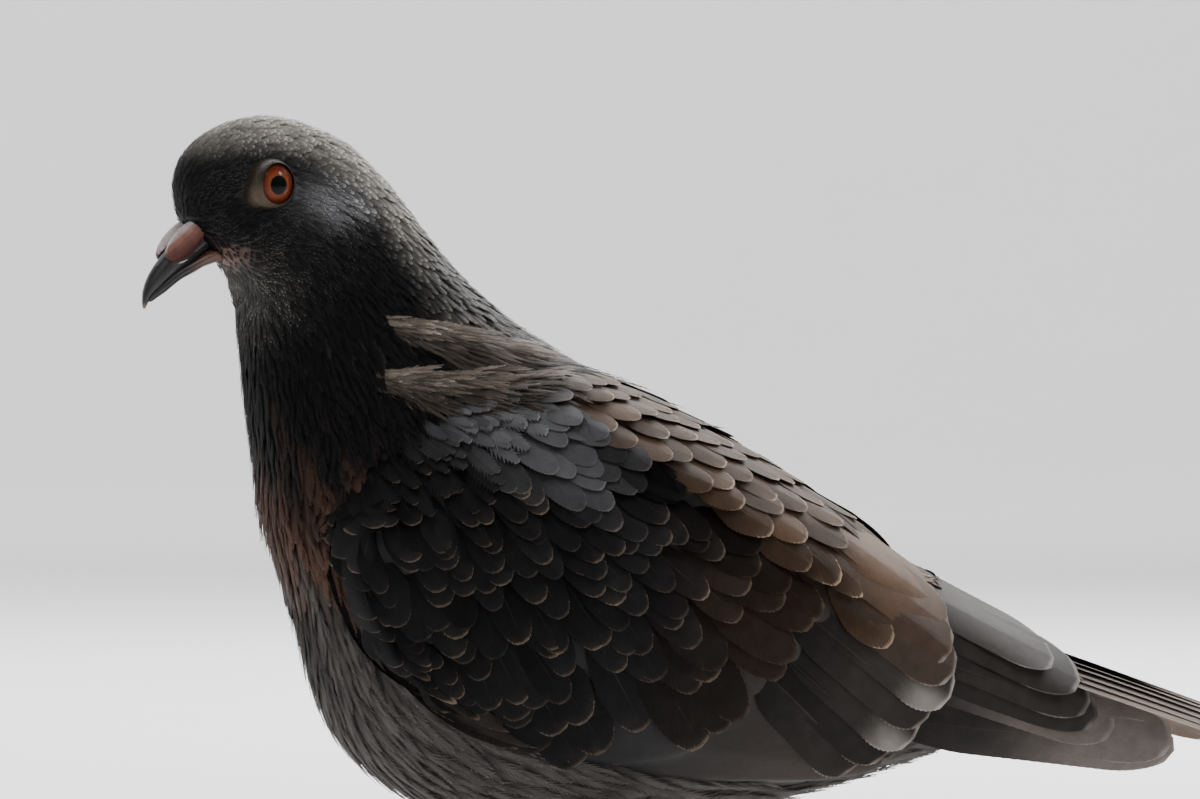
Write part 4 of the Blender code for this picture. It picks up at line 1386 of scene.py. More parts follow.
class WingSide:
    """One wing's solids, read by shooting at them from the side."""

    def __init__(self, side):
        self.side, self.sign = side, SIDES[side]
        self.whole = tree_of([f"wing_{side}_{layer}" for layer in WING_LAYERS])
        self.layers = {layer: tree_of([f"wing_{side}_{layer}"]) for layer in WING_LAYERS}

    def shot(self, spot, tree=None):
        """Where a line from outside meets the wing, or None."""
        start = at(spot[0], spot[1], self.sign * 90)
        return (tree or self.whole).ray_cast(start, Vector((0, -self.sign, 0)))[0]

    def over(self, spot):
        """The same, but beside the shoulder a place just over the skin of the body."""
        hit = self.shot(spot)
        if hit is None and past_shoulder(*spot) > -8 and spot[0] < 8:
            hit = self.shot(spot, Bird.ground.tree)
            if hit is not None:
                hit = hit + Vector((0, self.sign * sizes().wing_depth, 0))
        return hit

    def on(self, layer, spot):
        return self.shot(spot, self.layers[layer]) is not None

    def under_coverts(self, spot):
        """Whether coverts lie over this place: on their block, or beside it on the shoulder."""
        return self.on("coverts", spot) or (
            past_shoulder(*spot) > 0 and spot[0] < 4 and self.shot(spot) is None
        )

    def patch(self, path, half, reach=1.0, lean=1.0):
        """A smooth patch under one feather, fitted to the wing's side over the first reach of its
        length. The path gives the place and direction at a share of the length, in millimetres.
        lean is how much of the wing's slope across the feather is kept."""
        def spot_at(along, over):
            spot, way = path(along)
            return spot + np.array((way[1], -way[0])) * self.sign * half * over

        def depth(along, over):
            hit = self.over(spot_at(along, over))
            return None if hit is None else hit.y

        def terms(along, over):
            return 1, along, along ** 2, over, over ** 2, along * over

        fit = fitted(np.linspace(0, reach, 7), (-0.8, 0, 0.8), depth, terms)
        if fit is None:
            return None
        fit[3:] *= lean
        places = []
        for share in PATCH_GRID:
            x, z = spot_at(*share)
            places.append(((x - MIDDLE_X) * MM, fit @ np.array(terms(*share)), z * MM))
        return np.array(places), patch_normals(places, 1, self.sign)


# Shares along and across a feather of its patch's nine places.
PATCH_GRID = [(along, over) for along in (0, 0.5, 1) for over in (-1, 0, 1)]
# A patch is fitted only where at least so many places were met.
FEWEST_HITS = 6


def fitted(alongs, overs, depth, terms):
    """The weights with which some terms follow the depths met under a feather, or None."""
    rows, hits = [], []
    for along in alongs:
        for over in overs:
            hit = depth(along, over)
            if hit is not None:
                rows.append(terms(along, over))
                hits.append(hit)
    if len(hits) < FEWEST_HITS:
        return None
    return np.linalg.lstsq(np.array(rows), np.array(hits), rcond=1e-3)[0]


def patch_normals(places, axis, sign):
    """Normals of a patch's nine places, turned to the given side along an axis."""
    grid = np.array(places).reshape(3, 3, 3)
    normals = unit(np.cross(np.gradient(grid, axis=0), np.gradient(grid, axis=1)))
    flip = np.sign(normals[..., axis:axis + 1] * sign)
    return (normals * np.where(flip == 0, 1, flip)).reshape(9, 3)


def straight(tip, way, size):
    """The path of a feather that lies straight and ends at a tip."""
    way = np.array(way, float)
    return lambda along: (np.array(tip) - way * size * (1 - along), way)


# How much the nearer side of each feather of the wing is lifted, in half widths.
WING_ROLL = 0.10


class WingCoat:
    """Collects the feathers of one wing layer and lays them together."""

    def __init__(self, wing, seed):
        self.wing, self.rng = wing, np.random.default_rng(seed)
        self.rows, self.own_colours = [], []

    def add(self, path, half, low, high, ground=None, edging=None, lean=1.0, family=None):
        """Adds a feather, unless the wing isn't met under it. Its lifts are in millimetres."""
        if family is None:
            family = COVERT + int(self.rng.integers(0, LIKE_VANES))
        found = self.wing.patch(path, half, 1.0, lean)
        if found is not None:
            self.rows.append((*found, low * MM, high * MM, half * MM, family))
            self.own_colours.append((ground, edging))

    def finish(self, name, finish_name, *nodes):
        """Lays what was added as one piece."""
        if not self.rows:
            raise RuntimeError(f"no feather was laid for {name}")
        patches, normals, low, high, half, kinds = (np.array(column) for column in zip(*self.rows))
        ground, edging = wing_markings(patches[:, MID_PLACE])
        for k, own in enumerate(self.own_colours):
            for shown, given in zip((ground, edging), own):
                if given is not None:
                    shown[k] = given
        faint = self.rng.random(len(ground)) ** 1.6 * 0.85
        edging = mixed(edging, ground * 2, faint)
        ground, edging = plain(ground, self.rng, 0.16), plain(edging, self.rng, 0.16)
        skin = Bird.ground
        faces = [skin.tree.find_nearest(place)[2] for place in patches[:, ROOT_PLACE]]
        roots = skin.unwrap[faces]
        plumage = Plumage()
        plumage.lay_kinds(
            kinds, kinds >= 0, patches, normals, low, high, half, roots, ground, edging,
            self.wing.sign * WING_ROLL,
        )
        plumage.made(name, finish(finish_name), finish_name, *nodes)


def covert_rows():
    """Radius of each row's tips from the hub, with the length and width of its feathers."""
    rows = [(126.5, 27.0, 12.5), (116.5, 21.0, 11.0), (108.5, 17.0, 10.0)]
    radius, gap, width = 101.5, sizes().row_gap / MM, sizes().covert_width / MM
    while radius > 26:
        fine = float(np.interp(radius, (44, 64), (0.62, 1.0)))
        rows.append((radius, gap * fine * 2.9, width * fine))
        radius -= gap * fine
        gap = max(4.0, gap * 0.97)
        width = max(5.6, width * 0.972)
    return rows


def make_wing_coverts(wing):
    """Rows of coverts on arcs about the hub, each over the next row's roots."""
    coat = WingCoat(wing, 300)
    rng, edge = coat.rng, leading_edge(wing)
    hub = np.array(WING_HUB)
    for row, (radius, size, width) in enumerate(covert_rows()):
        step = math.degrees(width * 0.74 / radius)
        angle = 12.0 + step * rng.random()
        wave = rng.uniform(0, 6.3)
        while angle < 98:
            turn = angle + rng.normal(0, 2.2)
            reach = radius + rng.normal(0, 0.8) + 1.1 * math.sin(angle * 0.21 + wave)
            tip = hub + hub_way(turn) * reach
            angle += step * rng.uniform(0.85, 1.12)
            inset = np.linalg.norm(edge - tip, axis=1).min()
            crowded = inset < 4.5 and 66 < tip[1] < 108
            if crowded or not lies_on_coverts(wing, tip, turn, size):
                continue
            way = hub_way(turn - 10 * (inset < 12))
            high = 0.30 + 0.30 * (row > 2) * min(1.0, radius / 70) + rng.uniform(-0.12, 0.15)
            long = size * rng.uniform(0.92, 1.08)
            half = width / 2 * rng.uniform(0.9, 1.08)
            soft = radius < 62 and rng.random() < smooth(64, 54, radius)
            family = (SCALY if soft else COVERT) + int(rng.integers(0, LIKE_VANES))
            coat.add(straight(tip, way, long), half, -1.3, high, family=family)
    make_edge_coverts(coat, edge)
    coat.finish(f"wing_coverts_{wing.side}", "wing_feathers", f"wing_{wing.side}_coverts")


def lies_on_coverts(wing, tip, turn, size):
    """Whether a covert's end lies on the covert block and its middle on the wing."""
    inside = tip - hub_way(turn) * 2.0
    middle = tip - hub_way(turn) * size * 0.5
    return wing.under_coverts(inside) and wing.over(middle) is not None


def leading_edge(wing):
    """Places down the front edge of the coverts, top to bottom."""
    line = []
    for z in np.arange(130.0, 50.0, -1.0):
        for x in np.arange(-46.0, 12.0, 0.5):
            if wing.under_coverts((x, z)):
                line.append((x, z))
                break
    return np.array(line)


# Small feathers over the wing's front edge: where along it a row starts and how far inside it
# lies, their length, width, lift at root and tip, and the gap between them.
EDGE_ROWS = ((40, 1.4, 8.5, 3.8, -0.6, 0.55, 3.0), (38, 4.2, 9.5, 4.6, -0.8, 0.60, 3.4))
# Long feathers under them along the wing's lower rim: how far inside it and how far along it they
# lie, their half width, and their lift at root and tip.
RIM_ROWS = ((0.2, 0, 1.8, -1.6, -1.0), (1.7, 4, 2.1, -1.2, -0.4))
RIM_START, RIM_LENGTH, RIM_GAP = 50, 34, 7.5
# The rows over the front edge end at this height.
EDGE_END = 66


class Edge:
    """The front edge of the wing as a line that can be read by its length."""

    def __init__(self, line):
        steps = np.linalg.norm(np.diff(line, axis=0), axis=1)
        self.line, self.run = line, np.concatenate(([0], np.cumsum(steps)))

    def spot(self, place):
        return np.array([np.interp(place, self.run, self.line[:, k]) for k in (0, 1)])

    def beside(self, place, inset):
        """A place at some distance inside the edge, and the edge's direction there."""
        spot = self.spot(place)
        way = unit(self.spot(place + 2) - spot)
        return spot + np.array((-way[1], way[0])) * inset, way


def make_edge_coverts(coat, line):
    """Small feathers over the wing's front edge and long ones under them along its lower rim."""
    rng, edge = coat.rng, Edge(line)
    for start, inset, size, width, low, high, gap in EDGE_ROWS:
        for place in np.arange(start, edge.run[-1] - 4, gap):
            spot, way = edge.beside(place, inset)
            if spot[1] < EDGE_END:
                break
            way = unit(way + np.array((-way[1], way[0])) * 0.10 + rng.normal(0, 0.05, 2))
            ground = tint("slate") * 0.8 if inset < 4 else None
            lean = 0.45 + 0.55 * float(smooth(98, 108, spot[1]))
            coat.add(straight(spot + way * size, way, size), width / 2, low, high, ground, lean=lean)
    for start in np.arange(RIM_START, edge.run[-1] - RIM_LENGTH, RIM_GAP):
        for inset, stagger, half, low, high in RIM_ROWS:
            def path(along, start=start + stagger, inset=inset):
                return edge.beside(start + RIM_LENGTH * along, inset)
            lower = smooth(92, 76, edge.beside(start, inset)[0][1])
            ground = mixed(tint("slate") * 0.7, tint("outer_quill") * 0.32, [lower])[0]
            coat.add(path, half, low, high, ground, tint("buff"), 0.35)


# Places along the bird between which the sizes of the scapulars change.
SCAPULAR_STEPS = (-5, 20, 55, 80)


def lay_scapulars(wing, plumage, wanted, gap, seed, fine):
    """Feathers over one share of the folded wing's upper edge, fine times their usual size."""
    skin = Bird.ground
    rng = np.random.default_rng(500)
    places, faces = skin.scatter(wanted, gap, seed)
    count, normals = len(places), skin.normals[faces]
    ways = np.tile((0.80, wing.sign * 0.02, -0.58), (count, 1)) + rng.normal(0, 0.07, (count, 3))
    ways = unit(ways - (ways * normals).sum(1)[:, None] * normals)
    along, height = chart(places).T
    lengths = np.interp(along, SCAPULAR_STEPS, (9, 13, 20, 22)) * MM * rng.uniform(0.92, 1.08, count)
    room = np.interp(along, (50, 78), (40, 17)) * MM
    lengths = np.minimum(lengths, room) * fine
    widths = np.interp(along, SCAPULAR_STEPS, (6.5, 8.5, 11.5, 12)) * MM / 2 * fine
    patches, bends = skin.patches(places, ways, lengths, widths)
    ground, edging = wing_markings(places)
    ground, edging = plain(ground, rng, 0.2), plain(edging, rng, 0.2)
    above = height - fold_height(along)
    over, ridge = 1 - smooth(2, 16, above), smooth(12, 26, above)
    lift = (rng.uniform(1.2, 1.6, count) * (1 - 0.55 * ridge) + 0.9 * over) * MM * fine
    kinds = picked(np.full(count, COVERT), rng)
    plumage.lay_kinds(
        kinds, kinds >= COVERT, patches, bends, np.full(count, 0.1 * MM), lift, widths,
        skin.unwrap[faces], ground, edging, wing.sign * WING_ROLL,
    )


def make_scapulars(wing):
    """Large feathers over the upper edge of the folded wing, small ones on its inner side."""
    middles = Bird.ground.middles
    mine = middles[:, 1] * wing.sign > 0
    inner = mine & (Bird.regions == 3) & (np.abs(middles[:, 1]) < 14 * MM)
    inner = inner & (Bird.ground.normals[:, 2] > 0.1)
    gap = np.interp(chart(middles)[:, 0], SCAPULAR_STEPS, (3.6, 4.6, 6.0, 7.0)) * MM
    seed = 501 if wing.side == "left" else 511
    plumage = Plumage()
    lay_scapulars(wing, plumage, inner, gap * 0.45, seed + 5, 0.62)
    lay_scapulars(wing, plumage, mine & (Bird.regions == 1), gap, seed, 1.0)
    name = f"scapular_feathers_{wing.side}"
    plumage.made(name, finish("wing_feathers"), "wing_feathers", f"wing_{wing.side}_scapulars")


class Quills:
    """Long flight feathers, each with its own cell on the bake map."""

    def __init__(self, columns, rows, seed):
        self.columns, self.rows = columns, rows
        self.plumage, self.rng = Plumage(), np.random.default_rng(seed)
        self.index = 0

    def lay(self, vane, places, normals, half, low, high, ground, edging, roll, worn=0.0,
            dusk=1.0):
        """Lays one feather. worn is how far its lower web is bleached at the end, and dusk how
        light its nearer half is beside its outer half, darkened there as painted shade."""
        cell = np.array((self.index % self.columns, self.index // self.columns))
        size = np.array((1 / self.columns, 1 / self.rows))
        plumage = self.plumage
        # The 0.35 passed below is the share of a quill's colour kept at its root under painted shade.
        plumage.lay(
            vane, places[None], normals[None], np.array([low * MM]), np.array([high * MM]),
            np.array([half * MM]), np.zeros((1, 2)),
            plain(np.array([ground]), self.rng, 0.14), plain(np.array([edging]), self.rng, 0.08),
            0.35, roll,
        )
        # Painted shade: the root half is darkened further.
        shown = dusk + (1 - dusk) * smooth(0.42, 0.72, vane.along)[:, None]
        plumage.ground[-1] = plumage.ground[-1] * shown
        end = smooth(0.74, 0.93, vane.along) * smooth(-0.2, 0.6, vane.across * np.sign(roll))
        plumage.ground[-1] = mixed(plumage.ground[-1], tint("quill_edge") * 0.75, end * worn)
        spot = np.stack((0.5 + 0.42 * vane.across, 0.04 + 0.92 * vane.along), 1)
        plumage.bake[-1] = (cell + spot) * size
        self.index += 1

    def made(self, name, *nodes):
        self.plumage.made(name, finish("flight_feathers"), "flight_feathers", *nodes)


# Each flight feather: place of its tip, angle below level, length, half width, paleness of its tip.
SECONDARIES = (
    (88.5, 82.0, 35, 50, 6.0, 0.5), (90.0, 77.5, 35, 50, 6.8, 0.4), (89.5, 73.0, 36, 50, 7.0, 0.5),
    (89.8, 68.5, 36, 50, 7.0, 0.4), (89.0, 63.5, 36, 50, 7.4, 0.9), (84.0, 59.5, 37, 48, 7.0, 0.3),
    (81.0, 55.0, 38, 46, 7.2, 1.0), (75.5, 52.0, 39, 42, 7.0, 0.4), (69.0, 49.5, 40, 38, 7.0, 0.5),
)
PRIMARIES = (
    (116.5, 70.5, 27, 62, 5.6, 0.5), (122.3, 66.0, 24, 66, 6.4, 0.9), (124.8, 61.5, 21, 68, 6.6, 0.6),
    (126.5, 58.5, 18, 70, 6.4, 0.3), (131.0, 56.0, 17, 74, 6.8, 0.7), (146.0, 52.0, 11, 82, 6.8, 0.8),
    (147.5, 49.6, 7, 84, 6.0, 0.6),
)


# How much of a flight feather's length its patch is fitted to; its end juts out past the wing.
QUILL_REACH = 0.84


def flight_seat(wing, name, x, z, turn, size, half):
    """The patch under one flight feather that ends at a place."""
    found = wing.patch(straight((x, z), hub_way(turn), size), half, QUILL_REACH)
    if found is None:
        raise RuntimeError(f"one of the {name} has nothing to lie on")
    return found


def make_secondaries(wing):
    """Tertials and secondaries, stepped down the wing's end, the upper over the lower."""
    quills = Quills(4, 3, 600)
    shapes = [Vane(quill_end, 30, 4, 0.97, 0.12, 0.03, 700 + k, 0.09) for k in range(3)]
    for k, (*seat, half, pale) in enumerate(SECONDARIES):
        found = flight_seat(wing, "secondaries", *seat, half)
        depth = 0.20 * k
        edging = mixed(tint("quill_tip"), tint("quill_edge"), [pale])[0]
        ground = mixed(tint("quill") * 0.7, tint("brown") * 1.6, [max(0, 1 - k / 4)])[0]
        low, high = -1.2 - depth * 0.4, 0.6 - depth * 0.6
        worn = 0.8 * (pale > 0.8)
        quills.lay(shapes[k % 3], *found, half, low, high, ground, edging, wing.sign * 0.05, worn)
    quills.made(f"secondary_feathers_{wing.side}", f"wing_{wing.side}_secondaries")


def make_primaries(wing):
    """Primaries, whose tips step back past the secondaries, the upper over the lower."""
    quills = Quills(4, 2, 650)
    shapes = [Vane(quill_end, 34, 4, 0.985, 0.06, 0.02, 720 + k, 0.07) for k in range(3)]
    for k, (*seat, half, pale) in enumerate(PRIMARIES):
        found = flight_seat(wing, "primaries", *seat, half)
        low, high, outer = -1.6 - 0.22 * k, 0.3 - 0.22 * k, k > 3
        edging = tint("quill_edge") * (0.3 + 0.4 * pale)
        ground = tint("outer_quill") if outer else tint("quill") * 0.7
        # Painted shade on the root half of each primary, strongest on the outer ones.
        dusk = 0.35 if outer else 0.8
        quills.lay(shapes[k % 3], *found, half, low, high, ground, edging, wing.sign * 0.04, dusk=dusk)
    quills.made(f"primary_feathers_{wing.side}", f"wing_{wing.side}_primaries")


# ---------------------------------------------------------------- tail

# The number of tail feathers, how far they reach into the body, how far their tips stay inside
# the tail's end and side, and how much shorter the outer ones are. Metres.
TAIL_COUNT = 12
TAIL_ROOT, TAIL_INSET, TAIL_SIDE, TAIL_ROUNDED = 0.004, 0.0012, 0.0042, 0.0045


def tail_patch(tree, root, tip, half):
    """A smooth patch over the tail's solid, read by shooting down at it. Metres, from above."""
    way = tip - root
    across = np.array((-way[1], way[0])) / np.linalg.norm(way)

    def spot_at(along, over):
        return root + way * along + across * half * over

    def height(along, over):
        hit = tree.ray_cast(Vector((*spot_at(along, over), 0.15)), -UP)[0]
        return None if hit is None else hit.z

    def terms(along, over):
        return 1, along, along ** 2, over

    fit = fitted(np.linspace(0.05, 0.98, 9), (-0.6, 0, 0.6), height, terms)
    if fit is None:
        raise RuntimeError("a tail feather has nothing to lie on")
    places = np.array([(*spot_at(*share), fit @ np.array(terms(*share))) for share in PATCH_GRID])
    return places, patch_normals(places, 2, 1)


def make_tail_feathers():
    """Twelve tail feathers, the middle pair on top."""
    quills, tree = Quills(4, 3, 800), tree_of(["tail"])
    low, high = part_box("tail")
    span = high.y - low.y
    half = span * 0.15
    shapes = [Vane(quill_end, 34, 4, 0.985, 0.06, 0.0, 820 + k, 0.07) for k in range(3)]
    middle = (TAIL_COUNT - 1) / 2
    for k in range(TAIL_COUNT):
        share = (k - middle) / middle
        root = np.array((low.x - TAIL_ROOT, share * span * 0.20))
        reach = high.x - TAIL_INSET - TAIL_ROUNDED * abs(share) ** 3
        tip = np.array((reach, share * (span / 2 - TAIL_SIDE)))
        found = tail_patch(tree, root, tip, half)
        sink = 0.3 * abs(share) + 0.03 * (k > middle)
        edging = tint("quill_edge") * (0.35 + 0.35 * abs(share))
        ground = mixed(tint("tail"), tint("brown") * 1.6, [0.5 * abs(share)])[0]
        quills.lay(shapes[k % 3], *found, half / MM, 0.2 - sink, 0.1 - sink, ground, edging, 0.0)
    quills.made("tail_feathers", "tail")


# ---------------------------------------------------------------- head details

# The cornea's bulge over the eyeball, and how far the pupil's middle is shifted, in metres.
CORNEA = 0.00035
# How deep the eyeball is beside its solid.
EYE_FLATTER = 0.985
PUPIL_AHEAD, PUPIL_UP = 0.0005, 0.00005
# The lids: blend between eye and skin, how far they stand over both, how far their inner edge
# dips under the eye's surface, how far the opening is shifted back and up, and rim and folds.
LID_BLEND, LID_RAISED, LID_DIP = 0.0002, 0.0004, 0.0002
LID_SHIFT = (0.0009, 0.0003)
RIM_HEIGHT, FOLD_HEIGHT, LID_SEATED = 0.00030, 0.00014, 0.0003
# The lids' lighter corner lies this way round from the eye's middle, in degrees.
LID_CORNER, LID_CORNER_WIDTH = 312, 42
# The nostril: name, drop under the cere's middle and thickness in millimetres, colour, darkness.
NOSTRIL = (("slit", -3.0, 0.50, "gape", 0.28), ("rim", -3.6, 0.22, "cere_bloom", 1.0))


def eye_frame(side):
    """The eye's middle, its outward and forward directions, and its radius and depth."""
    lie, left = Bird.lie, side == "left"
    low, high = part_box("eye_" + side)
    outward = (lie.outward if left else -lie.outward).normalized()
    return lie.eyes[0 if left else 1], outward, lie.forward, (high.z - low.z) / 2, (high.y - low.y) / 2


def dome(depth, share):
    """Height of an eyeball over its middle plane at a share of its radius."""
    return depth * math.sqrt(max(0.0, 1 - share * share))


def eye_faces(rings, spokes, side):
    """Triangles laid around an eye that face outwards on either side."""
    faces = ring_faces(rings, spokes)
    return [face[::-1] for face in faces] if side == "left" else faces


def make_eye(side):
    """Eyeball with its iris, turned so that the pupil looks a little forward."""
    eye, outward, forward, radius, depth = eye_frame(side)
    depth = depth * EYE_FLATTER
    opening = sizes().eye_opening
    rings, spokes = 30, 64
    points, marks = [], []
    for ring in range(rings + 1):
        share = max(ring, 0.1) / rings
        for spoke in range(spokes):
            turn = 2 * math.pi * spoke / spokes
            bulge = CORNEA * max(0.0, 1 - (share * radius / opening) ** 2)
            flat = forward * math.cos(turn) + UP * math.sin(turn)
            height = dome(depth, share) + bulge
            points.append(eye + flat * radius * share + outward * height)
            ahead = share * radius * math.cos(turn) + PUPIL_AHEAD
            above = share * radius * math.sin(turn) + PUPIL_UP
            across = math.hypot(ahead, above * 0.94) / (opening * 1.08)
            marks.append((across, (math.atan2(above, ahead) / math.tau) % 1))
    mesh = array_mesh("eye", points, eye_faces(rings, spokes, side))
    set_map(mesh, "Iris", marks)
    bare_piece(f"eyeball_{side}", mesh, "eye", "eye", f"eye_{side}")


def lid_point(side, turn, share):
    """A place on the lids, by its way round the eye and its share from rim to outer edge."""
    eye, outward, forward, radius, depth = eye_frame(side)
    flat = forward * math.cos(turn) + UP * math.sin(turn)
    inner = sizes().eye_opening * (0.95 + 0.16 * math.sin(turn - math.radians(10)) ** 2)
    away = flat * (inner + (lid_reach(turn) * MM - inner) * share)
    away = away + (UP * LID_SHIFT[1] - forward * LID_SHIFT[0]) * (1 - share) ** 1.5
    on_eye = dome(depth, min(1.0, away.length / radius))
    if share == 0:
        return eye + away + outward * (on_eye - LID_DIP)
    hit = Bird.ground.tree.ray_cast(eye + away + outward * 0.03, -outward)[0]
    on_skin = (hit - eye).dot(outward) if hit is not None else on_eye
    seat = np.logaddexp(on_eye / LID_BLEND, on_skin / LID_BLEND) * LID_BLEND
    rim = RIM_HEIGHT * math.exp(-((share - 0.14) / 0.12) ** 2)
    fold = FOLD_HEIGHT * math.cos(share * 18 + 2 * math.sin(turn)) * smooth(0.2, 0.5, share)
    height = seat + rim + fold * (1 - share) + LID_RAISED - LID_SEATED * smooth(0.8, 1.0, share)
    return eye + away + outward * height


def lid_marks(turn, share):
    """How chalky and how light the lids are at a place."""
    upper = smooth(-0.3, 0.6, math.sin(turn - math.radians(40)))
    ring_light = math.exp(-((share - 0.45) / 0.22) ** 2)
    bloom = float(np.clip(ring_light * (0.08 + 0.55 * upper), 0, 1))
    off = (math.degrees(turn) - LID_CORNER + 180) % 360 - 180
    front = math.exp(-(off / LID_CORNER_WIDTH) ** 2)
    front *= 1 - smooth(0.35, 0.95, share)
    # The tone falls off towards the opening: painted shadow along the lids' inner edge.
    return bloom, (0.12 + 0.55 * front) * float(smooth(-0.05, 0.12, share))


def make_lid(side):
    """The lids: a grainy rim around the eye that widens into a bare corner towards the bill."""
    rings, spokes = 18, 96
    around = [
        (2 * math.pi * spoke / spokes, ring / rings)
        for ring in range(rings + 1) for spoke in range(spokes)
    ]
    points = [lid_point(side, *place) for place in around]
    bloom, tone = np.array([lid_marks(*place) for place in around]).T
    mesh = array_mesh("lid", points, eye_faces(rings, spokes, side))
    set_colour(mesh, "ground", tone[:, None] * tint("lid"))
    set_colour(mesh, "edging", np.tile(tint("lid_edge"), (len(points), 1)))
    set_value(mesh, "bloom", bloom)
    bare_piece(f"eyelids_{side}", mesh, "lid_skin", "cere_skin")


def make_bill_piece(name):
    """A smooth, dense copy of a horn solid, with its worn tip or its flushed base."""
    mesh = melted([name], BILL_MESH, 3)
    points = mesh_points(mesh) + mesh_normals(mesh) * 0.00018
    set_points(mesh, points)
    points = mesh_points(mesh)
    ahead = points @ np.array(Bird.lie.forward) / MM
    share = (ahead - ahead.min()) / (ahead.max() - ahead.min())
    worn = flush = np.zeros(len(points))
    if name == "bill_upper":
        worn = smooth(1.6, 0.2, points[:, 2] / MM - points[:, 2].min() / MM) * 0.7
    else:
        closed = np.array(Bird.lie.forward * 0.35 + UP * 0.6) * MM
        set_points(mesh, points + smooth(0.25, 0.7, share)[:, None] * closed)
        flush = smooth(0.42, 0.80, 1 - share) * 0.85
    set_value(mesh, "worn", worn)
    set_value(mesh, "flush", flush)
    bare_piece(name + "_horn", mesh, "bill_horn", "bill_horn", name)


def make_cere(side):
    """One swollen lobe over a nostril, whitened where it faces up as chalky bloom and painted highlight,
    and dark red where it faces down, partly its own colour and partly painted shade.
    """
    name = "cere_" + side
    mesh = melted([name], CERE_MESH, 3)
    points, normals = mesh_points(mesh), mesh_normals(mesh)
    outward = np.array(eye_frame(side)[1])
    slope = unit(np.array(Bird.lie.forward * 0.75 - UP * 0.65))
    longer = ((points - points.mean(0)) @ slope)[:, None] * slope * 0.22
    set_points(mesh, points + longer)
    # Painted shade and highlight: the lobe turns dark red where it faces down and takes the pale bloom
    # where it faces up.
    flushed = smooth(0.45, -0.40, normals[:, 2])
    set_colour(mesh, "ground", mixed(tint("cere"), tint("nostril"), flushed))
    set_colour(mesh, "edging", np.tile(tint("cere_bloom"), (len(points), 1)))
    set_value(mesh, "bloom", smooth(0.15, 0.8, normals[:, 2] - 0.55 * (normals @ outward) + 0.35))
    bare_piece(f"{name}_lobe", mesh, "cere_skin", "cere_skin", name)


def rod(points, radii, sides=10):
    """Points and triangles of a closed round rod through some places."""
    rows, last = [], len(points) - 1
    for k, (point, radius) in enumerate(zip(points, radii)):
        way = (points[min(k + 1, last)] - points[max(k - 1, 0)]).normalized()
        side = way.orthogonal().normalized() if k == 0 else (side - way * side.dot(way)).normalized()
        other = way.cross(side)
        for step in range(sides):
            turn = math.tau * step / sides
            rows.append(point + (side * math.cos(turn) + other * math.sin(turn)) * radius)
    faces = []
    for k in range(last):
        for step in range(sides):
            a, b = k * sides + step, k * sides + (step + 1) % sides
            c, d = a + sides, b + sides
            faces += [(a, b, d), (a, d, c)]
    for first, turn in ((0, 1), (last * sides, -1)):
        for step in range(1, sides - 1):
            faces.append((first, first + step + 1, first + step)[::turn])
    return rows, faces


def make_nostril(side):
    """The nostril's dark red slit under the lobe, with its pale lower rim."""
    tree = tree_of(["bill_upper", "cere_" + side])
    outward, forward = eye_frame(side)[1:3]
    middle = sum(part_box("cere_" + side), Vector()) / 2
    for label, drop, thick, tone, dark in NOSTRIL:
        line, radii = [], []
        for share in np.linspace(0, 1, 9).tolist():
            along = -1.8 + 5.0 * share
            down = drop - 0.45 * along - 0.3 * math.sin(math.pi * share)
            start = middle + forward * along * MM + UP * down * MM + outward * 0.02
            hit = tree.ray_cast(start, -outward)[0]
            if hit is not None:
                line.append(hit - outward * 0.00005)
                radii.append(thick * MM * (0.15 + math.sin(math.pi * (0.08 + 0.84 * share))))
        if len(line) < 4:
            raise RuntimeError(f"the nostril {label} missed the {side} side of the bill")
        points, faces = rod(line, radii)
        mesh = array_mesh("nostril", points, faces)
        for layer in ("ground", "edging"):
            set_colour(mesh, layer, np.tile(tint(tone) * dark, (len(points), 1)))
        set_value(mesh, "bloom", np.zeros(len(points)))
        bare_piece(f"nostril_{label}_{side}", mesh, "cere_skin", "cere_skin")


# ---------------------------------------------------------------- legs

def make_leg(side):
    """Shank, foot and toes as one limb, with a ridge of scales down its front."""
    names = [f"shank_{side}", f"foot_{side}", *(f"toe_{side}_{toe}" for toe in TOES)]
    mesh = melted(names, LEG_MESH, 4)
    points, normals = mesh_points(mesh), mesh_normals(mesh)
    pad = sum(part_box(f"foot_{side}"), Vector()) / 2
    from_pad = np.linalg.norm(points[:, :2] - np.array(pad)[:2], axis=1)
    up_leg = smooth(5 * MM, 8 * MM, points[:, 2])
    run = points[:, 2] * up_leg + from_pad * (1 - up_leg)
    front = np.where(up_leg > 0.5, smooth(-0.3, 0.4, -normals[:, 0]), smooth(0.0, 0.5, normals[:, 2]))
    step = run / sizes().scute
    ridge = SCUTE_HEIGHT * front * np.sin(np.pi * (step % 1)) ** 0.5
    set_points(mesh, over_floor(points + normals * ridge[:, None]))
    set_value(mesh, "scute", step)
    set_value(mesh, "front", front)
    bare_piece(f"leg_{side}", mesh, "leg_scales", "leg_scales", *names)


def make_claws(side):
    """The four claws of one foot."""
    names = [f"claw_{side}_{toe}" for toe in TOES]
    mesh = melted(names, CLAW_MESH, 2)
    set_points(mesh, over_floor(mesh_points(mesh)))
    count = len(mesh.vertices)
    set_value(mesh, "worn", np.full(count, 0.06))
    set_value(mesh, "flush", np.zeros(count))
    bare_piece(f"claws_{side}", mesh, "bill_horn", "claw_horn", *names)


def over_floor(points):
    """The same places, none of them under the floor."""
    points[:, 2] = points[:, 2].clip(0, None)
    return points


# ---------------------------------------------------------------- studio

# How far away the backdrop stands, how high it is and the radius of its sweep, in metres.
WALL, WALL_TOP, CURVE = 5.2, 4.0, 1.2
BIRD_MIDDLE = (0, 0, 0.12)
EYE_PLACE = (-0.1, -0.011, 0.17)
SKY_TONE = (0.95, 0.97, 1.0, 1)
FILL_TONE = (0.93, 0.96, 1.0)
SENSOR = 36


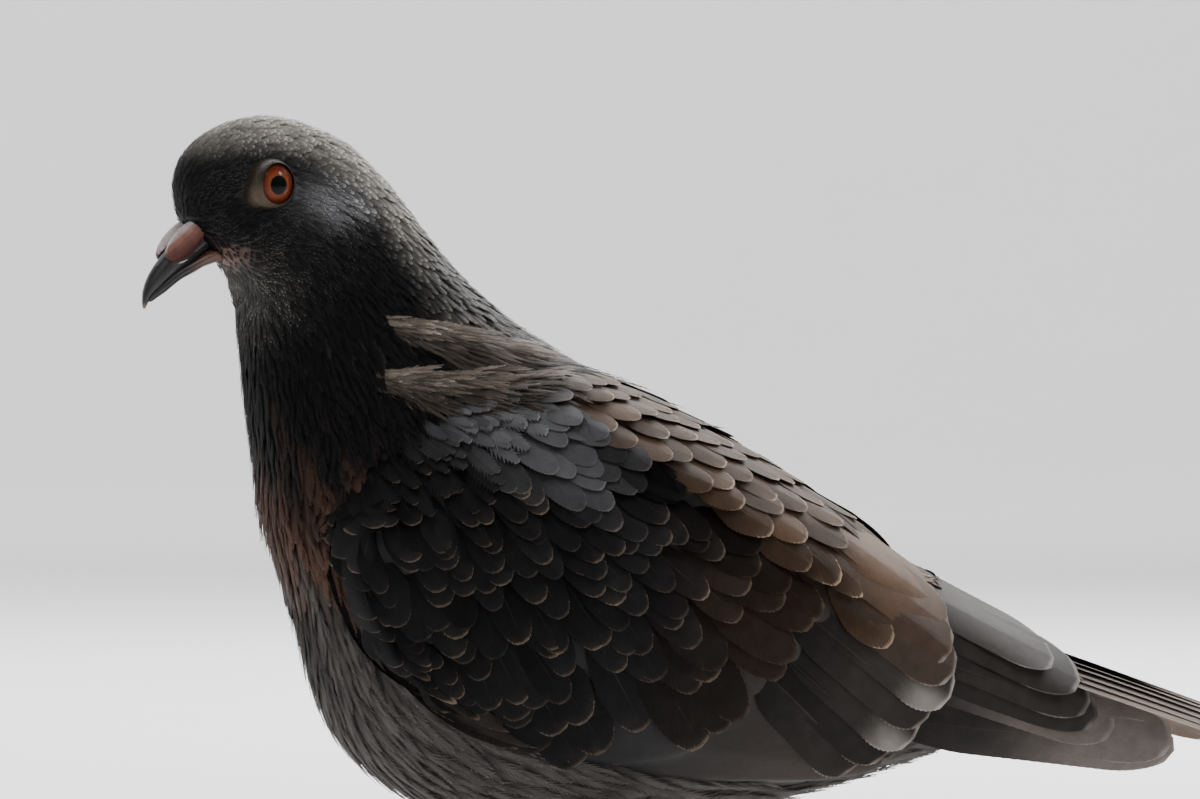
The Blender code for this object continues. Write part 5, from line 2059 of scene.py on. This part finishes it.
def make_floor():
    """A floor that sweeps up into a backdrop on every side."""
    steps, spokes = 8, 72
    rings = [(radius, 0.0) for radius in (0.0, 0.4, 2.0, WALL - CURVE)]
    for k in range(1, steps + 1):
        turn = k * math.pi / (2 * steps)
        rings.append((WALL - CURVE + CURVE * math.sin(turn), CURVE - CURVE * math.cos(turn)))
    rings += [(WALL, WALL_TOP / 2), (WALL, WALL_TOP)]
    points = []
    for radius, height in rings:
        for spoke in range(spokes):
            turn = math.tau * spoke / spokes
            points.append((radius * math.cos(turn), radius * math.sin(turn), height))
    mesh = array_mesh("studio_floor", points, ring_faces(len(rings) - 1, spokes))
    floor = bpy.data.objects.new("studio_floor", mesh)
    bpy.context.scene.collection.objects.link(floor)
    mesh.materials.append(make_studio_material())


def lamp(name, place, size, power, target=BIRD_MIDDLE, tone=(1, 1, 1)):
    """A round soft lamp that shines at a target."""
    light = bpy.data.lights.new(name, "AREA")
    light.shape = "DISK"
    light.size = size
    light.energy = power
    light.color = tone
    made = bpy.data.objects.new(name, light)
    bpy.context.scene.collection.objects.link(made)
    made.location = place
    made.rotation_euler = (Vector(target) - Vector(place)).to_track_quat("-Z", "Y").to_euler()


def make_lamps(studio):
    """A broad lamp behind, weak ones in front, one for the eye's catchlight, two on the wall."""
    lamp("back_lamp", (0.5, 1.3, 1.25), 1.2, studio.back_power)
    lamp("rim_lamp", (0.9, 0.7, 1.0), 0.7, studio.back_power * 0.4)
    lamp("front_lamp", (-0.45, -0.75, 1.2), 0.4, studio.top_power * 0.7)
    lamp("overhead_lamp", (-0.15, -0.20, 1.5), 0.5, studio.top_power * 1.3)
    lamp("eye_lamp", (0.95, -0.43, 1.15), 0.34, studio.top_power * 0.9, EYE_PLACE)
    for side, sign in SIDES.items():
        place, target = (sign * 1.6, 2.2, 3.0), (sign * 0.8, 5.0, 0.6)
        lamp(f"wall_lamp_{side}", place, 1.4, studio.wall_power, target)
    lamp("fill_lamp", (-1.5, -1.6, 0.9), 1.2, studio.fill_power, tone=FILL_TONE)
    world = bpy.data.worlds.new("studio_light")
    bpy.context.scene.world = world
    world.use_nodes = True
    sky = world.node_tree.nodes["Background"]
    sky.inputs["Color"].default_value = SKY_TONE
    sky.inputs["Strength"].default_value = studio.sky


def make_camera(studio):
    """Looks at the bird from its left and a little from ahead."""
    turn, rise = studio.azimuth, studio.elevation
    back = Vector((
        math.sin(turn) * math.cos(rise), -math.cos(turn) * math.cos(rise), math.sin(rise),
    ))
    right = Vector((math.cos(turn), math.sin(turn), 0))
    camera = bpy.data.cameras.new("camera")
    camera.lens = studio.lens
    camera.sensor_width = SENSOR
    camera.clip_start = 0.05
    made = bpy.data.objects.new("camera", camera)
    bpy.context.scene.collection.objects.link(made)
    made.location = at(0, studio.aim_height / MM) + right * studio.aim_right + back * studio.distance
    made.rotation_euler = (-back).to_track_quat("-Z", "Y").to_euler()
    bpy.context.scene.camera = made


# ---------------------------------------------------------------- operators

class PIGEON_OT_finishes(bpy.types.Operator):
    """Makes the shader effects and the finishes of feathers, horn, skin, eyes and legs"""
    bl_idname = "pigeon.finishes"
    bl_label = "Make finishes"

    def execute(self, context):
        make_vane_effect()
        make_mottle_effect()
        make_grain_effect()
        make_feather_materials()
        make_horn_material()
        make_bare_skin_material("cere_skin", 0.35)
        make_bare_skin_material("lid_skin", 0.06)
        make_eye_material()
        make_leg_material()
        return {"FINISHED"}


class PIGEON_OT_skin(bpy.types.Operator):
    """Melts head, neck, trunk, thighs and wing blocks into one skin inside the coat"""
    bl_idname = "pigeon.skin"
    bl_label = "Make skin"

    def execute(self, context):
        Bird.lie = Lie()
        make_skin()
        make_vanes()
        return {"FINISHED"}


class PIGEON_OT_coat(bpy.types.Operator):
    """Lays the small feathers of head, neck and body"""
    bl_idname = "pigeon.coat"
    bl_label = "Lay coat"

    def execute(self, context):
        crown, face, neck, body = coat_limits()
        make_coat("crown_coat", crown, crown_styles, "head_feathers", 100, 0.95)
        make_coat("face_coat", face, face_styles, "loose_feathers", 110, 0.9, "head_feathers")
        make_coat("neck_coat", neck, neck_styles, "neck_feathers", 120)
        make_coat("body_coat", body, body_styles, "body_feathers", 140)
        for side in SIDES:
            make_ruffles(side)
        return {"FINISHED"}


class PIGEON_OT_wings(bpy.types.Operator):
    """Lays coverts, scapulars, secondaries and primaries of both folded wings"""
    bl_idname = "pigeon.wings"
    bl_label = "Lay wings"

    def execute(self, context):
        for side in SIDES:
            wing = WingSide(side)
            make_wing_coverts(wing)
            make_scapulars(wing)
            make_secondaries(wing)
            make_primaries(wing)
        return {"FINISHED"}


class PIGEON_OT_tail(bpy.types.Operator):
    """Lays the twelve tail feathers"""
    bl_idname = "pigeon.tail"
    bl_label = "Lay tail"

    def execute(self, context):
        make_tail_feathers()
        return {"FINISHED"}


class PIGEON_OT_eyes(bpy.types.Operator):
    """Makes the eyeballs and their lids"""
    bl_idname = "pigeon.eyes"
    bl_label = "Make eyes"

    def execute(self, context):
        for side in SIDES:
            make_eye(side)
            make_lid(side)
        return {"FINISHED"}


class PIGEON_OT_bill(bpy.types.Operator):
    """Makes upper and lower bill, cere lobes and nostrils"""
    bl_idname = "pigeon.bill"
    bl_label = "Make bill"

    def execute(self, context):
        make_bill_piece("bill_upper")
        make_bill_piece("bill_lower")
        for side in SIDES:
            make_cere(side)
            make_nostril(side)
        return {"FINISHED"}


class PIGEON_OT_legs(bpy.types.Operator):
    """Makes the scaly legs with their toes and claws"""
    bl_idname = "pigeon.legs"
    bl_label = "Make legs"

    def execute(self, context):
        for side in SIDES:
            make_leg(side)
            make_claws(side)
        return {"FINISHED"}


class PIGEON_OT_studio(bpy.types.Operator):
    """Makes floor, backdrop, lamps and camera"""
    bl_idname = "pigeon.studio"
    bl_label = "Set up studio"

    def execute(self, context):
        studio = context.scene.pigeon_studio
        make_floor()
        make_lamps(studio)
        make_camera(studio)
        return {"FINISHED"}


class PIGEON_PT_maker(bpy.types.Panel):
    """Lists the steps and the sizes that a user would change"""
    bl_idname = "PIGEON_PT_maker"
    bl_label = "Pigeon"
    bl_space_type = "VIEW_3D"
    bl_region_type = "UI"
    bl_category = "Pigeon"

    def draw(self, context):
        for step in STEPS:
            self.layout.operator("pigeon." + step)
        for name in GROUPS:
            group, box = getattr(context.scene, name), self.layout.box()
            for value in group.__annotations__:
                box.prop(group, value)


STEPS = ("finishes", "skin", "coat", "wings", "tail", "eyes", "bill", "legs", "studio")
GROUPS = {
    "pigeon_colours": PigeonColours,
    "pigeon_sizes": PigeonSizes,
    "pigeon_studio": PigeonStudio,
}
CLASSES = (
    *GROUPS.values(), PIGEON_OT_finishes, PIGEON_OT_skin, PIGEON_OT_coat, PIGEON_OT_wings,
    PIGEON_OT_tail, PIGEON_OT_eyes, PIGEON_OT_bill, PIGEON_OT_legs, PIGEON_OT_studio, PIGEON_PT_maker,
)


def register():
    for made in CLASSES:
        bpy.utils.register_class(made)
    for name, group in GROUPS.items():
        setattr(bpy.types.Scene, name, bpy.props.PointerProperty(type=group))


def unregister():
    for name in GROUPS:
        delattr(bpy.types.Scene, name)
    for made in reversed(CLASSES):
        bpy.utils.unregister_class(made)


def main():
    register()
    for step in STEPS:
        getattr(bpy.ops.pigeon, step)()


if __name__ == "__main__":
    main()
